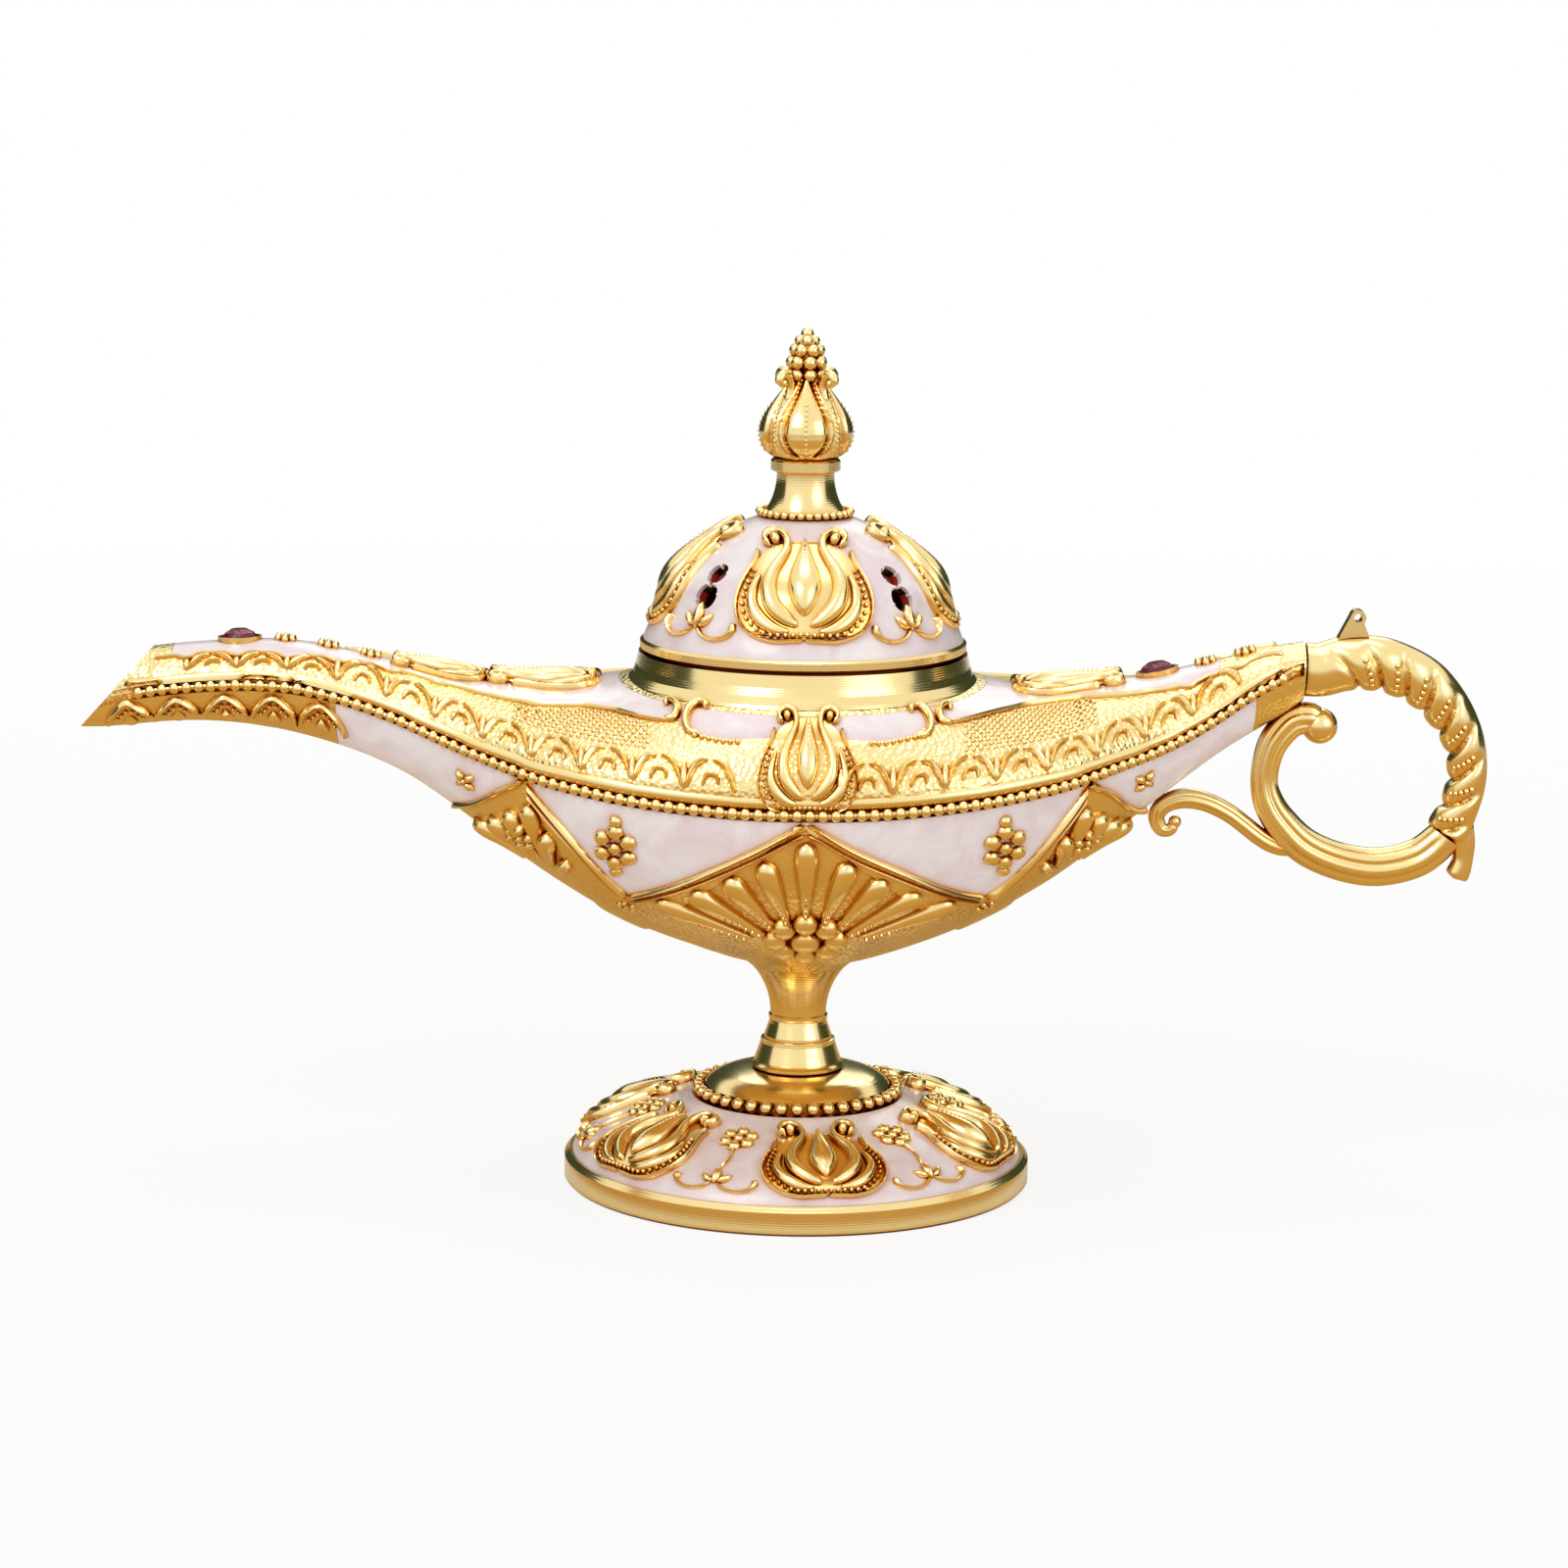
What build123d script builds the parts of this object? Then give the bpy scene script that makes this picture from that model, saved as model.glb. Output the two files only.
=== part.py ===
from build123d import *
import math
import os

# A genie oil lamp, in millimetres: a boat-shaped bowl with a long spout and a scrolled handle, on a
# turned stem and a round foot, with a pierced dome lid that lifts off. +X points to the handle,
# -X to the spout and +Z up. The origin is on the stem's axis, at the foot's underside.

# Bowl
spout_reach = 110.2
tail_reach = 76.3
body_half_width = 35.0
keel_height = 34.0
keel_rise = 36.5
seam_height = 63.3
seam_rise = 14.0
crown_height = 22.8
enamel_depth = 0.8
casting_wall = 1.3
fit_gap = 0.05
overrun = 5.0

# Mouth of the spout: a slanted cut whose lower lip is the tip
mouth_slant = 48.2
lip_height = 69.6

# Neck and lid
neck_bore_radius = 23.0
neck_rim_radius = 25.1
neck_flare_radius = 27.3
neck_rim_height = 82.45
neck_flare_height = 77.6
lid_gap = 0.3
lid_radius = 24.4
lid_rim_radius = 24.9
lid_rim_height = 1.8
dome_rise = 18.6
dome_crown_radius = 7.0
dome_wall = 1.4
lid_ring_depth = 3.2
lid_ring_wall = 1.3
lid_ring_clearance = 0.45

# Finial
finial_neck_rise = 6.6
finial_waist_radius = 4.4
finial_collar_radius = 5.3
finial_collar_rise = 2.2
finial_bulb_radius = 7.1
finial_bulb_rise = 10.6
finial_cluster_rise = 9.0
finial_stud_radius = 1.5
finial_stud_grip = 5.0
finial_volute_radius = 1.3
finial_nut_radius = 3.0
finial_nut_height = 2.4
stud_tail = 3.4
lid_seat_width = 3.2
lid_hole_radius = 2.1
vent_column_count = 4
volute_count = 4

# Foot and stem
foot_radius = 36.0
foot_rim_height = 3.6
foot_lip_height = 4.4
foot_lip_radius = 35.2
foot_enamel_radius = 34.8
foot_cone_rise = 8.8
foot_cone_radius = 16.3
foot_dish_rise = 4.1
foot_wall = 1.8
rim_edge = 0.4
stem_ring_radius = 7.0
collar_height = 17.3
collar_rise = 8.7
stem_waist_radius = 4.3
stem_cup_radius = 7.3
stem_gap = 0.4

# Tie rod through the stem, with its head in the bowl and its nut in the hollow foot
rod_radius = 2.0
rod_clearance = 0.15
rod_head_radius = 3.8
rod_head_height = 2.0
rod_seat_radius = 4.6
rod_seat_rise = 0.9
nut_radius = 3.9
nut_height = 3.0
washer_radius = 5.0
washer_height = 1.0
rod_tail = 0.8

# Beaded borders
seam_bead_radius = 0.85
foot_bead_radius = 0.95
foot_bead_count = 40
lid_bead_radius = 0.62
lid_bead_count = 34
bead_gap = 0.1

# Handle
handle_top_height = 80.6
handle_reach = 28.5
handle_drop = 30.7
handle_bar_radius = 4.1
scroll_bar_radius = 2.95
volute_radius = 2.6
brace_radius = 1.5
brace_volute_radius = 1.1
joint_gap = 0.1
lug_length = 6.0
lug_rise = 5.0
lug_width = 2.6
lug_hole_radius = 0.65
lug_sink = 1.6
lug_corner = 0.7
lug_hole_rise = 2.9
lug_wall = 0.55
lug_tip_share = 0.06
lug_hole_share = 0.1

# Ruby stones on the ridge
bezel_floor = 0.4
gem_crown_share = 0.75
gem_length = 5.6
gem_width = 4.4
gem_rise = 1.7
bezel_wall = 0.55
bezel_height = 1.7
bezel_seat = 1.1
spout_gem_share = -0.78
tail_gem_share = 0.71

# Outline of the bowl. Each row holds the place along the spout (negative) or the tail (positive),
# then the half width, the rise of the seam, the rise of the keel and the crown above the seam.
body_shares = (
    (-1.02, 0.09, 0.66, 0.97, 0.32),
    (-0.97, 0.13, 0.77, 0.97, 0.30),
    (-0.92, 0.17, 0.87, 0.985, 0.27),
    (-0.87, 0.20, 0.935, 1.0, 0.26),
    (-0.80, 0.22, 0.99, 1.0, 0.255),
    (-0.73, 0.24, 1.0, 0.975, 0.26),
    (-0.66, 0.26, 0.93, 0.925, 0.263),
    (-0.60, 0.29, 0.81, 0.865, 0.276),
    (-0.54, 0.35, 0.66, 0.78, 0.307),
    (-0.48, 0.44, 0.49, 0.66, 0.36),
    (-0.42, 0.56, 0.35, 0.53, 0.417),
    (-0.36, 0.69, 0.235, 0.405, 0.474),
    (-0.30, 0.81, 0.165, 0.293, 0.53),
    (-0.23, 0.91, 0.10, 0.184, 0.62),
    (-0.15, 0.97, 0.045, 0.096, 0.785),
    (-0.075, 0.995, 0.01, 0.027, 0.934),
    (0.0, 1.0, 0.0, 0.0, 1.0),
    (0.11, 0.995, 0.01, 0.028, 0.932),
    (0.22, 0.97, 0.045, 0.098, 0.78),
    (0.33, 0.91, 0.10, 0.19, 0.625),
    (0.44, 0.80, 0.17, 0.31, 0.525),
    (0.53, 0.68, 0.25, 0.43, 0.487),
    (0.61, 0.55, 0.355, 0.56, 0.45),
    (0.69, 0.42, 0.47, 0.69, 0.42),
    (0.76, 0.33, 0.615, 0.805, 0.38),
    (0.83, 0.27, 0.83, 0.915, 0.307),
    (0.90, 0.22, 1.07, 1.01, 0.224),
    (0.96, 0.18, 1.23, 1.085, 0.167),
    (1.0, 0.15, 1.30, 1.145, 0.145),
)
fullness_share = 0.5523
cavity_start_share = -1.02
cavity_end_share = 0.76

# Gold fans on the hull, as places along the spout or tail, with the keel between their corners
fan_apex_share = 0.0
side_fan_apex_shares = (-0.37, 0.56)
inner_corner_shares = (-0.255, 0.37)
outer_corner_shares = (-0.486, 0.69)
enamel_end_shares = (-0.64, 0.90)
deck_enamel_climb = 27.0
deck_enamel_end_shares = (-0.90, 0.88)
ridge_step_share = 0.02
bead_start_share = -0.93
bead_end_share = 0.97

# Turned outlines, as shares of the sizes that they follow: radius first, then height
neck_shares = ((0.85, 0.12), (0.40, 0.37), (0.18, 0.62), (0.0, 1.0))
dome_shares = (
    (1.0, 0.0), (0.96, 0.13), (0.905, 0.27), (0.84, 0.465), (0.697, 0.68), (0.49, 0.88), (0.287, 1.0),
)
finial_neck_shares = ((1.18, 0.35), (1.05, 0.62), (1.0, 0.85), (1.0, 1.0))
finial_bulb_shares = (
    (0.66, 0.0), (0.89, 0.13), (1.0, 0.32), (0.94, 0.58), (0.75, 0.83), (0.58, 1.0),
)
foot_shares = ((1.0, 0.0), (0.925, 0.22), (0.74, 0.46), (0.42, 0.73), (0.0, 1.0))
dish_shares = ((1.0, 0.41), (0.75, 0.73), (0.35, 0.93), (0.03, 1.0))
collar_shares = (
    (0.957, 0.0), (1.0, 0.035), (1.0, 0.08), (0.945, 0.125), (0.957, 0.16), (0.825, 0.47),
    (0.815, 0.54), (0.75, 0.55), (0.745, 0.60), (0.65, 0.82), (0.63, 0.885), (0.65, 0.93),
    (0.65, 0.975), (0.614, 1.0),
)
cup_shares = ((0.0, 0.0), (0.06, 0.25), (0.22, 0.49), (0.5, 0.73), (1.0, 1.0))

# Vents of the dome: height, turn from the middle between two tulips in degrees, and size
lid_hole_shares = ((0.50, 0.0, 1.0), (0.78, 0.0, 0.85))
lid_hole_focus_share = 0.9

# Cluster of berries on the finial, as a knobbed bud
finial_cluster_shares = (
    (0.45, 0.0), (0.62, 0.12), (0.55, 0.24), (0.60, 0.36), (0.50, 0.50), (0.50, 0.60),
    (0.36, 0.76), (0.33, 0.86), (0.08, 1.0),
)
finial_base_share = 0.886

# Bars of the handle: place along its reach, drop below its top (negative) and radius
handle_arc_shares = (
    (0.0, 0.0, 1.0), (0.10, 0.0, 1.0), (0.22, 0.03, 1.02), (0.38, 0.034, 1.03), (0.52, 0.0, 1.0),
    (0.66, -0.07, 0.96), (0.78, -0.19, 0.88), (0.86, -0.32, 0.80), (0.894, -0.45, 0.76),
    (0.89, -0.58, 0.75), (0.85, -0.71, 0.76), (0.79, -0.83, 0.84),
)
handle_leaf_shares = ((0.895, -0.87, 0.42), (0.90, -0.96, 0.36), (0.86, -1.04, 0.2))
handle_scroll_shares = (
    (0.765, -0.86, 0.98), (0.66, -0.94, 1.02), (0.52, -0.985, 1.03), (0.37, -0.995, 1.03),
    (0.19, -0.96, 1.0), (0.03, -0.89, 0.97), (-0.09, -0.78, 0.9), (-0.16, -0.68, 0.82),
    (-0.19, -0.57, 0.73), (-0.175, -0.44, 0.76), (-0.13, -0.342, 0.82), (-0.05, -0.262, 0.86),
    (0.04, -0.247, 0.86), (0.105, -0.285, 0.8),
)
brace_shares = (
    (-0.20, -0.87, 0.95), (-0.29, -0.79, 0.93), (-0.38, -0.73, 0.95), (-0.50, -0.677, 1.0),
    (-0.62, -0.660, 1.05), (-0.72, -0.69, 0.95), (-0.765, -0.75, 0.85), (-0.74, -0.815, 0.75),
    (-0.69, -0.82, 0.65), (-0.665, -0.78, 0.55),
)
lug_place_share = (0.26, 0.034, 1.03)


def reach(share):
    """Place along X of a share of the spout (negative) or of the tail (positive)."""
    return share * (spout_reach if share < 0 else tail_reach)


def station(row, inset=0.0):
    """Place, half width, seam, keel and top height of one row of the bowl, inset from its skin."""
    share, width, seam, keel, crown = row
    seam_z = seam_height + seam * seam_rise
    return (
        reach(share),
        width * body_half_width - inset,
        seam_z,
        keel_height + keel * keel_rise + inset,
        seam_z + crown * crown_height - inset,
    )


def between(share):
    """Station of the bowl at any share, on straight lines between its rows."""
    for low, high in zip(body_shares, body_shares[1:]):
        if low[0] <= share <= high[0]:
            part = (share - low[0]) / (high[0] - low[0])
            return station(tuple(a + part * (b - a) for a, b in zip(low, high)))
    raise ValueError(f"no station at {share}")


def body_sections(inset, first=-2.0, last=2.0):
    """Cross-sections of one half of the bowl's outer form, inset from the skin, between two shares."""
    sections = []
    for row in body_shares:
        if first <= row[0] <= last:
            x, half, seam, low, high = station(row, inset)
            with BuildSketch(Plane(origin=(x, 0, 0), x_dir=(0, 1, 0), z_dir=(1, 0, 0))) as section:
                with BuildLine():
                    for end in (low, high):
                        Bezier(
                            (half, seam),
                            (half, seam + fullness_share * (end - seam)),
                            (half * fullness_share, end),
                            (0, end),
                        )
                    Line((0, low), (0, high))
                make_face()
            sections.append(section.sketch)
    return sections


def below_seam(shift, floor):
    """Face in the lamp's middle plane below the seam, whose line is moved out by shift."""
    seam = [(station(row)[0], station(row)[2]) for row in body_shares]
    points = moved_points(seam, -shift)
    with BuildSketch(Plane.XZ) as face:
        with BuildLine():
            Spline(*points)
            Polyline(points[-1], (points[-1][0], floor), (points[0][0], floor), points[0])
        make_face()
    return face.sketch


def mouth_face():
    """Face in the lamp's middle plane of all that the slanted mouth cuts off."""
    slant = math.radians(mouth_slant)
    length = 2 * crown_height + overrun
    top = (-spout_reach + length * math.cos(slant), lip_height + length * math.sin(slant))
    low = (-spout_reach - length * math.cos(slant), lip_height - length * math.sin(slant))
    with BuildSketch(Plane.XZ) as face:
        with BuildLine():
            Polyline(low, top, (low[0], top[1]), low)
        make_face()
    return face.sketch


def hull_enamel_face(margin):
    """Face in the lamp's middle plane of the enamelled fields between the gold fans, grown by margin."""
    with BuildSketch(Plane.XZ) as face:
        for side in (0, 1):
            inner = between(inner_corner_shares[side])
            outer = between(outer_corner_shares[side])
            apex = between(side_fan_apex_shares[side])
            end = between(enamel_end_shares[side])
            with BuildLine():
                Polyline(
                    (reach(fan_apex_share), seam_height - bead_room / 2),
                    (inner[0], inner[3]),
                    (apex[0], apex[2]),
                    (apex[0], apex[2] + overrun),
                    (reach(fan_apex_share), seam_height + overrun),
                    close=True,
                )
            make_face()
            with BuildLine():
                Polyline(
                    (apex[0], apex[2]),
                    (outer[0], outer[3]),
                    (outer[0], hull_floor),
                    (end[0], hull_floor),
                    (end[0], end[2] + overrun),
                    (apex[0], apex[2] + overrun),
                    close=True,
                )
            make_face()
        if margin:
            offset(amount=margin, kind=Kind.INTERSECTION, mode=Mode.REPLACE)
        add(below_seam(margin - bead_room / 2, hull_floor - overrun), mode=Mode.INTERSECT)
    return face.sketch


def deck_enamel_face(margin):
    """Plan of the deck's enamelled field outside the neck ring, grown by a margin."""
    first, last = deck_enamel_end_shares
    climb = math.radians(deck_enamel_climb)
    rows = [station(row) for row in body_shares if first < row[0] < last]
    points = [(row[0], row[1] * math.cos(climb)) for row in rows]
    points[0] = (points[0][0] - margin, points[0][1])
    points[-1] = (points[-1][0] + margin, points[-1][1])
    points = [(x, y + margin) for x, y in points]
    with BuildSketch() as face:
        with BuildLine():
            Spline(*points)
            Spline(*[(x, -y) for x, y in points])
            Line(points[0], (points[0][0], -points[0][1]))
            Line(points[-1], (points[-1][0], -points[-1][1]))
        make_face()
        Circle(neck_flare_radius + enamel_depth - margin, mode=Mode.SUBTRACT)
    return face.sketch


def ridge_plane(share):
    """Plane on the bowl's ridge at a share, square to the ridge."""
    x, height = between(share)[0], between(share)[4]
    before, after = between(share - ridge_step_share), between(share + ridge_step_share)
    along = (after[0] - before[0], 0, after[4] - before[4])
    return Plane(origin=(x, 0, height), x_dir=along, z_dir=(-along[2], 0, along[0]))


def gem_seat(share, gap):
    """Adds or cuts the oval block that a bezel fills, from its seat upwards."""
    plane = ridge_plane(share).offset(-bezel_seat - gap)
    with BuildSketch(plane) as oval:
        Ellipse(gem_length / 2 + bezel_wall + gap, gem_width / 2 + bezel_wall + gap)
    return oval.sketch


def moved_points(points, distance):
    """Moves each point of an outline square to it, to the right of its direction of travel."""
    moved = []
    for index, (x, y) in enumerate(points):
        before = points[max(index - 1, 0)]
        after = points[min(index + 1, len(points) - 1)]
        dx, dy = after[0] - before[0], after[1] - before[1]
        length = math.hypot(dx, dy)
        moved.append((x + distance * dy / length, y - distance * dx / length))
    return moved


def turned_layer(points, outer, inner):
    """Revolves the layer between an outline moved by outer and by inner, with its first end level."""
    near, far = moved_points(points, outer), moved_points(points, inner)
    near[0], far[0] = (near[0][0], points[0][1]), (far[0][0], points[0][1])
    with BuildSketch(Plane.XZ) as profile:
        with BuildLine():
            Spline(*near)
            Line(near[-1], far[-1])
            Spline(*far)
            Line(far[0], near[0])
        make_face()
    revolve(profile.sketch, axis=Axis.Z)


def turned(points, mode=Mode.ADD):
    """Revolves a closed outline of (radius, height) points with straight sides."""
    with BuildSketch(Plane.XZ) as profile:
        with BuildLine():
            Polyline(*points, close=True)
        make_face()
    revolve(profile.sketch, axis=Axis.Z, mode=mode)


def bead_ring(radius, height, bead, count):
    """A ring of separate beads at a radius and a height."""
    with Locations((0, 0, height)):
        with PolarLocations(radius, count):
            Sphere(bead)


def bar_sections(rows):
    """Circles along a bar, from rows of place along X, height and radius."""
    sections = []
    for index, (x, z, radius) in enumerate(rows):
        before = rows[max(index - 1, 0)]
        after = rows[min(index + 1, len(rows) - 1)]
        heading = (after[0] - before[0], 0, after[1] - before[1])
        with BuildSketch(Plane(origin=(x, 0, z), x_dir=(0, 1, 0), z_dir=heading)) as section:
            Circle(radius)
        sections.append(section.sketch)
    return sections


def bezel_top_edges(gem, share):
    """The stone's upper edge, the one furthest out along the ridge's normal."""
    normal = ridge_plane(share).z_dir
    return gem.edges().sort_by(lambda edge: edge.center().dot(normal))[-1]


def finish(part, name):
    """Labels a piece and writes it under its own name."""
    part.label = name
    export_step(part, f"parts/{name}.step")


os.makedirs("parts", exist_ok=True)

skin = enamel_depth + casting_wall
bead_room = 2 * (seam_bead_radius + bead_gap)
hull_floor = keel_height - overrun
stem_top = keel_height - stem_gap
rod_seat_height = keel_height + skin + rod_seat_rise
rod_hole_radius = rod_radius + rod_clearance
wide = body_half_width + overrun

# Bowl: a hull and a deck that meet at the seam, where a row of beads lies in a groove. Each is made
# as one half and mirrored.
with BuildPart() as hull_rooms:
    with BuildSketch(Plane.XZ):
        add(below_seam(bead_room / 2, hull_floor))
        add(below_seam(-bead_room / 2, hull_floor), mode=Mode.SUBTRACT)
        add(hull_enamel_face(fit_gap))
    extrude(amount=-wide)
    loft(body_sections(enamel_depth), mode=Mode.SUBTRACT)

with BuildPart() as cavity:
    loft(body_sections(skin, cavity_start_share, cavity_end_share))

with BuildPart() as hull_shell:
    loft(body_sections(0))
    extrude(below_seam(0, hull_floor), amount=wide, both=True, mode=Mode.INTERSECT)
    add(hull_rooms.part, mode=Mode.SUBTRACT)
    add(cavity.part, mode=Mode.SUBTRACT)
    mirror(about=Plane.XZ)
    turned([
        (0, stem_top),
        (stem_cup_radius, stem_top),
        (stem_cup_radius + skin, keel_height + casting_wall),
        (stem_cup_radius + skin, keel_height + skin),
        (0, keel_height + skin),
    ])
    with BuildSketch(Plane.XY.offset(keel_height + casting_wall)):
        Circle(rod_seat_radius)
    extrude(amount=rod_seat_height - keel_height - casting_wall)
    with BuildSketch(Plane.XY.offset(stem_top)):
        Circle(rod_hole_radius)
    extrude(amount=rod_seat_height - stem_top, mode=Mode.SUBTRACT)
    extrude(mouth_face(), amount=wide, both=True, mode=Mode.SUBTRACT)
finish(hull_shell.part, "hull_shell")

with BuildPart() as hull_enamel:
    loft(body_sections(0))
    extrude(hull_enamel_face(0), amount=wide, both=True, mode=Mode.INTERSECT)
    loft(body_sections(enamel_depth - fit_gap), mode=Mode.SUBTRACT)
    mirror(about=Plane.XZ)
finish(hull_enamel.part, "hull_enamel")

with BuildPart() as deck_rooms:
    with BuildSketch(Plane.XZ):
        add(below_seam(bead_room / 2, hull_floor))
        add(below_seam(-bead_room / 2, hull_floor), mode=Mode.SUBTRACT)
    extrude(amount=-wide)
    with BuildSketch(Plane.XY.offset(seam_height + bead_room)):
        add(deck_enamel_face(fit_gap))
    extrude(amount=crown_height + overrun)
    loft(body_sections(enamel_depth), mode=Mode.SUBTRACT)

with BuildPart() as deck_shell:
    loft(body_sections(0))
    extrude(below_seam(fit_gap, hull_floor), amount=wide, both=True, mode=Mode.SUBTRACT)
    add(deck_rooms.part, mode=Mode.SUBTRACT)
    add(cavity.part, mode=Mode.SUBTRACT)
    mirror(about=Plane.XZ)
    with BuildSketch(Plane.XY.offset(seam_height)):
        Circle(neck_bore_radius)
    extrude(amount=crown_height + overrun, mode=Mode.SUBTRACT)
    for share in (spout_gem_share, tail_gem_share):
        extrude(gem_seat(share, fit_gap), amount=bezel_height + overrun, mode=Mode.SUBTRACT)
    extrude(mouth_face(), amount=wide, both=True, mode=Mode.SUBTRACT)
finish(deck_shell.part, "deck_shell")

with BuildPart() as deck_enamel:
    loft(body_sections(0))
    with BuildSketch(Plane.XY.offset(seam_height + bead_room)) as deck_field:
        add(deck_enamel_face(0))
    extrude(deck_field.sketch, amount=crown_height + overrun, mode=Mode.INTERSECT)
    extrude(below_seam(bead_room, hull_floor), amount=wide, both=True, mode=Mode.SUBTRACT)
    loft(body_sections(enamel_depth - fit_gap), mode=Mode.SUBTRACT)
    mirror(about=Plane.XZ)
    for share in (spout_gem_share, tail_gem_share):
        extrude(gem_seat(share, fit_gap), amount=bezel_height + overrun, mode=Mode.SUBTRACT)
finish(deck_enamel.part, "deck_enamel")

# Round moulding that stands for the row of beads in the seam's groove, one length on each side
seam_line = []
for row in body_shares:
    if bead_start_share <= row[0] <= bead_end_share:
        x, half, seam = station(row)[:3]
        seam_line.append(Vector(x, half - enamel_depth, seam))
moulding_sections = []
for index, place in enumerate(seam_line):
    heading = seam_line[min(index + 1, len(seam_line) - 1)] - seam_line[max(index - 1, 0)]
    out = Vector(-heading.Y, heading.X, 0).normalized()
    centre = place + out * (seam_bead_radius + bead_gap)
    with BuildSketch(Plane(origin=centre, x_dir=out, z_dir=heading)) as section:
        Circle(seam_bead_radius)
    moulding_sections.append(section.sketch)
with BuildPart() as seam_moulding:
    loft(moulding_sections)
    mirror(about=Plane.XZ)
finish(seam_moulding.part, "seam_moulding")

# Outer form of the bowl, a fit gap larger than its skin, which shapes what is soldered on it
with BuildPart() as body_form:
    loft(body_sections(-fit_gap))
    mirror(about=Plane.XZ)

# Neck ring soldered on the deck, where the lid's ring drops in
with BuildPart() as neck_ring:
    turned([
        (neck_bore_radius, seam_height + bead_room),
        (neck_flare_radius, seam_height + bead_room),
        (neck_flare_radius, neck_flare_height),
        *[
            (
                neck_rim_radius + radial * (neck_flare_radius - neck_rim_radius),
                neck_flare_height + rise * (neck_rim_height - neck_flare_height),
            )
            for radial, rise in neck_shares
        ],
        (neck_bore_radius, neck_rim_height),
    ])
    add(body_form.part, mode=Mode.SUBTRACT)
finish(neck_ring.part, "neck_ring")

# Lid, with its enamel, the ring that locates it in the neck and the finial screwed on top
rim_bottom = neck_rim_height + lid_gap
rim_top = rim_bottom + lid_rim_height
dome_top = rim_top + dome_rise
boss_radius = dome_crown_radius - enamel_depth / 2
dome_line = [(radial * lid_radius, rim_top + rise * dome_rise) for radial, rise in dome_shares]

with BuildPart() as lid_rim:
    turned([
        (lid_radius - lid_seat_width, rim_bottom),
        (lid_rim_radius - rim_edge, rim_bottom),
        (lid_rim_radius, rim_bottom + rim_edge),
        (lid_rim_radius, rim_top - rim_edge),
        (lid_rim_radius - rim_edge, rim_top),
        (lid_radius - lid_seat_width, rim_top),
    ])
finish(lid_rim.part, "lid_rim")

ring_radius = neck_bore_radius - lid_ring_clearance
with BuildPart() as lid_locating_ring:
    turned([
        (ring_radius - lid_ring_wall, rim_bottom - lid_ring_depth),
        (ring_radius - rim_edge, rim_bottom - lid_ring_depth),
        (ring_radius, rim_bottom - lid_ring_depth + rim_edge),
        (ring_radius, rim_bottom),
        (ring_radius - lid_ring_wall, rim_bottom),
    ])
finish(lid_locating_ring.part, "lid_locating_ring")


def lid_holes():
    """Cuts the columns of round vents, midway between the tulips."""
    for column in range(vent_column_count):
        for share, turn, size in lid_hole_shares:
            rise = rim_top + share * dome_rise
            height = dome_top - lid_hole_focus_share * dome_rise
            around = turn + (column + 1 / 2) * 360 / vent_column_count
            heading = Vector(lid_radius, 0, rise - height).rotate(Axis.Z, around)
            with BuildSketch(Plane(origin=(0, 0, height), z_dir=heading)) as vent:
                Circle(size * lid_hole_radius)
            extrude(vent.sketch, amount=2 * lid_radius, mode=Mode.SUBTRACT)


with BuildPart() as lid_dome:
    turned_layer(dome_line, -enamel_depth, -enamel_depth - dome_wall)
    turned([
        (0, dome_top - enamel_depth - dome_wall),
        (boss_radius, dome_top - enamel_depth - dome_wall),
        (boss_radius, dome_top),
        (0, dome_top),
    ])
    with BuildSketch(Plane.XY.offset(rim_top)):
        Circle(finial_stud_radius + rod_clearance)
    extrude(amount=dome_rise, mode=Mode.SUBTRACT)
    lid_holes()
finish(lid_dome.part, "lid_dome")

with BuildPart() as lid_enamel:
    turned_layer(dome_line, 0, fit_gap - enamel_depth)
    lid_holes()
finish(lid_enamel.part, "lid_enamel")

neck_bottom = dome_top + joint_gap
neck_top = neck_bottom + finial_neck_rise
bulb_bottom = neck_top + finial_collar_rise
bulb_top = bulb_bottom + finial_bulb_rise
with BuildPart() as finial_neck:
    with BuildSketch(Plane.XZ) as neck_profile:
        with BuildLine():
            start = Polyline(
                (0, neck_bottom),
                (finial_base_share * dome_crown_radius, neck_bottom),
                (finial_base_share * dome_crown_radius, neck_bottom + lid_bead_radius),
            )
            Spline(
                start @ 1,
                *[
                    (radial * finial_waist_radius, neck_bottom + rise * finial_neck_rise)
                    for radial, rise in finial_neck_shares
                ],
            )
            Polyline(
                (finial_neck_shares[-1][0] * finial_waist_radius, neck_top),
                (finial_collar_radius, neck_top + rim_edge),
                (finial_collar_radius, bulb_bottom - rim_edge),
                (finial_collar_radius - rim_edge, bulb_bottom),
                (0, bulb_bottom),
                (0, neck_bottom),
            )
        make_face()
    revolve(axis=Axis.Z)
    with BuildSketch(Plane.XY.offset(neck_bottom)):
        Circle(finial_stud_radius + rod_clearance)
    extrude(amount=finial_stud_grip + joint_gap, mode=Mode.SUBTRACT)
finish(finial_neck.part, "finial_neck")

with BuildPart() as finial_beads:
    ring = finial_base_share * dome_crown_radius + lid_bead_radius + bead_gap
    bead_ring(ring, neck_bottom + lid_bead_radius, lid_bead_radius, lid_bead_count)
finish(finial_beads.part, "finial_beads")

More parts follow.
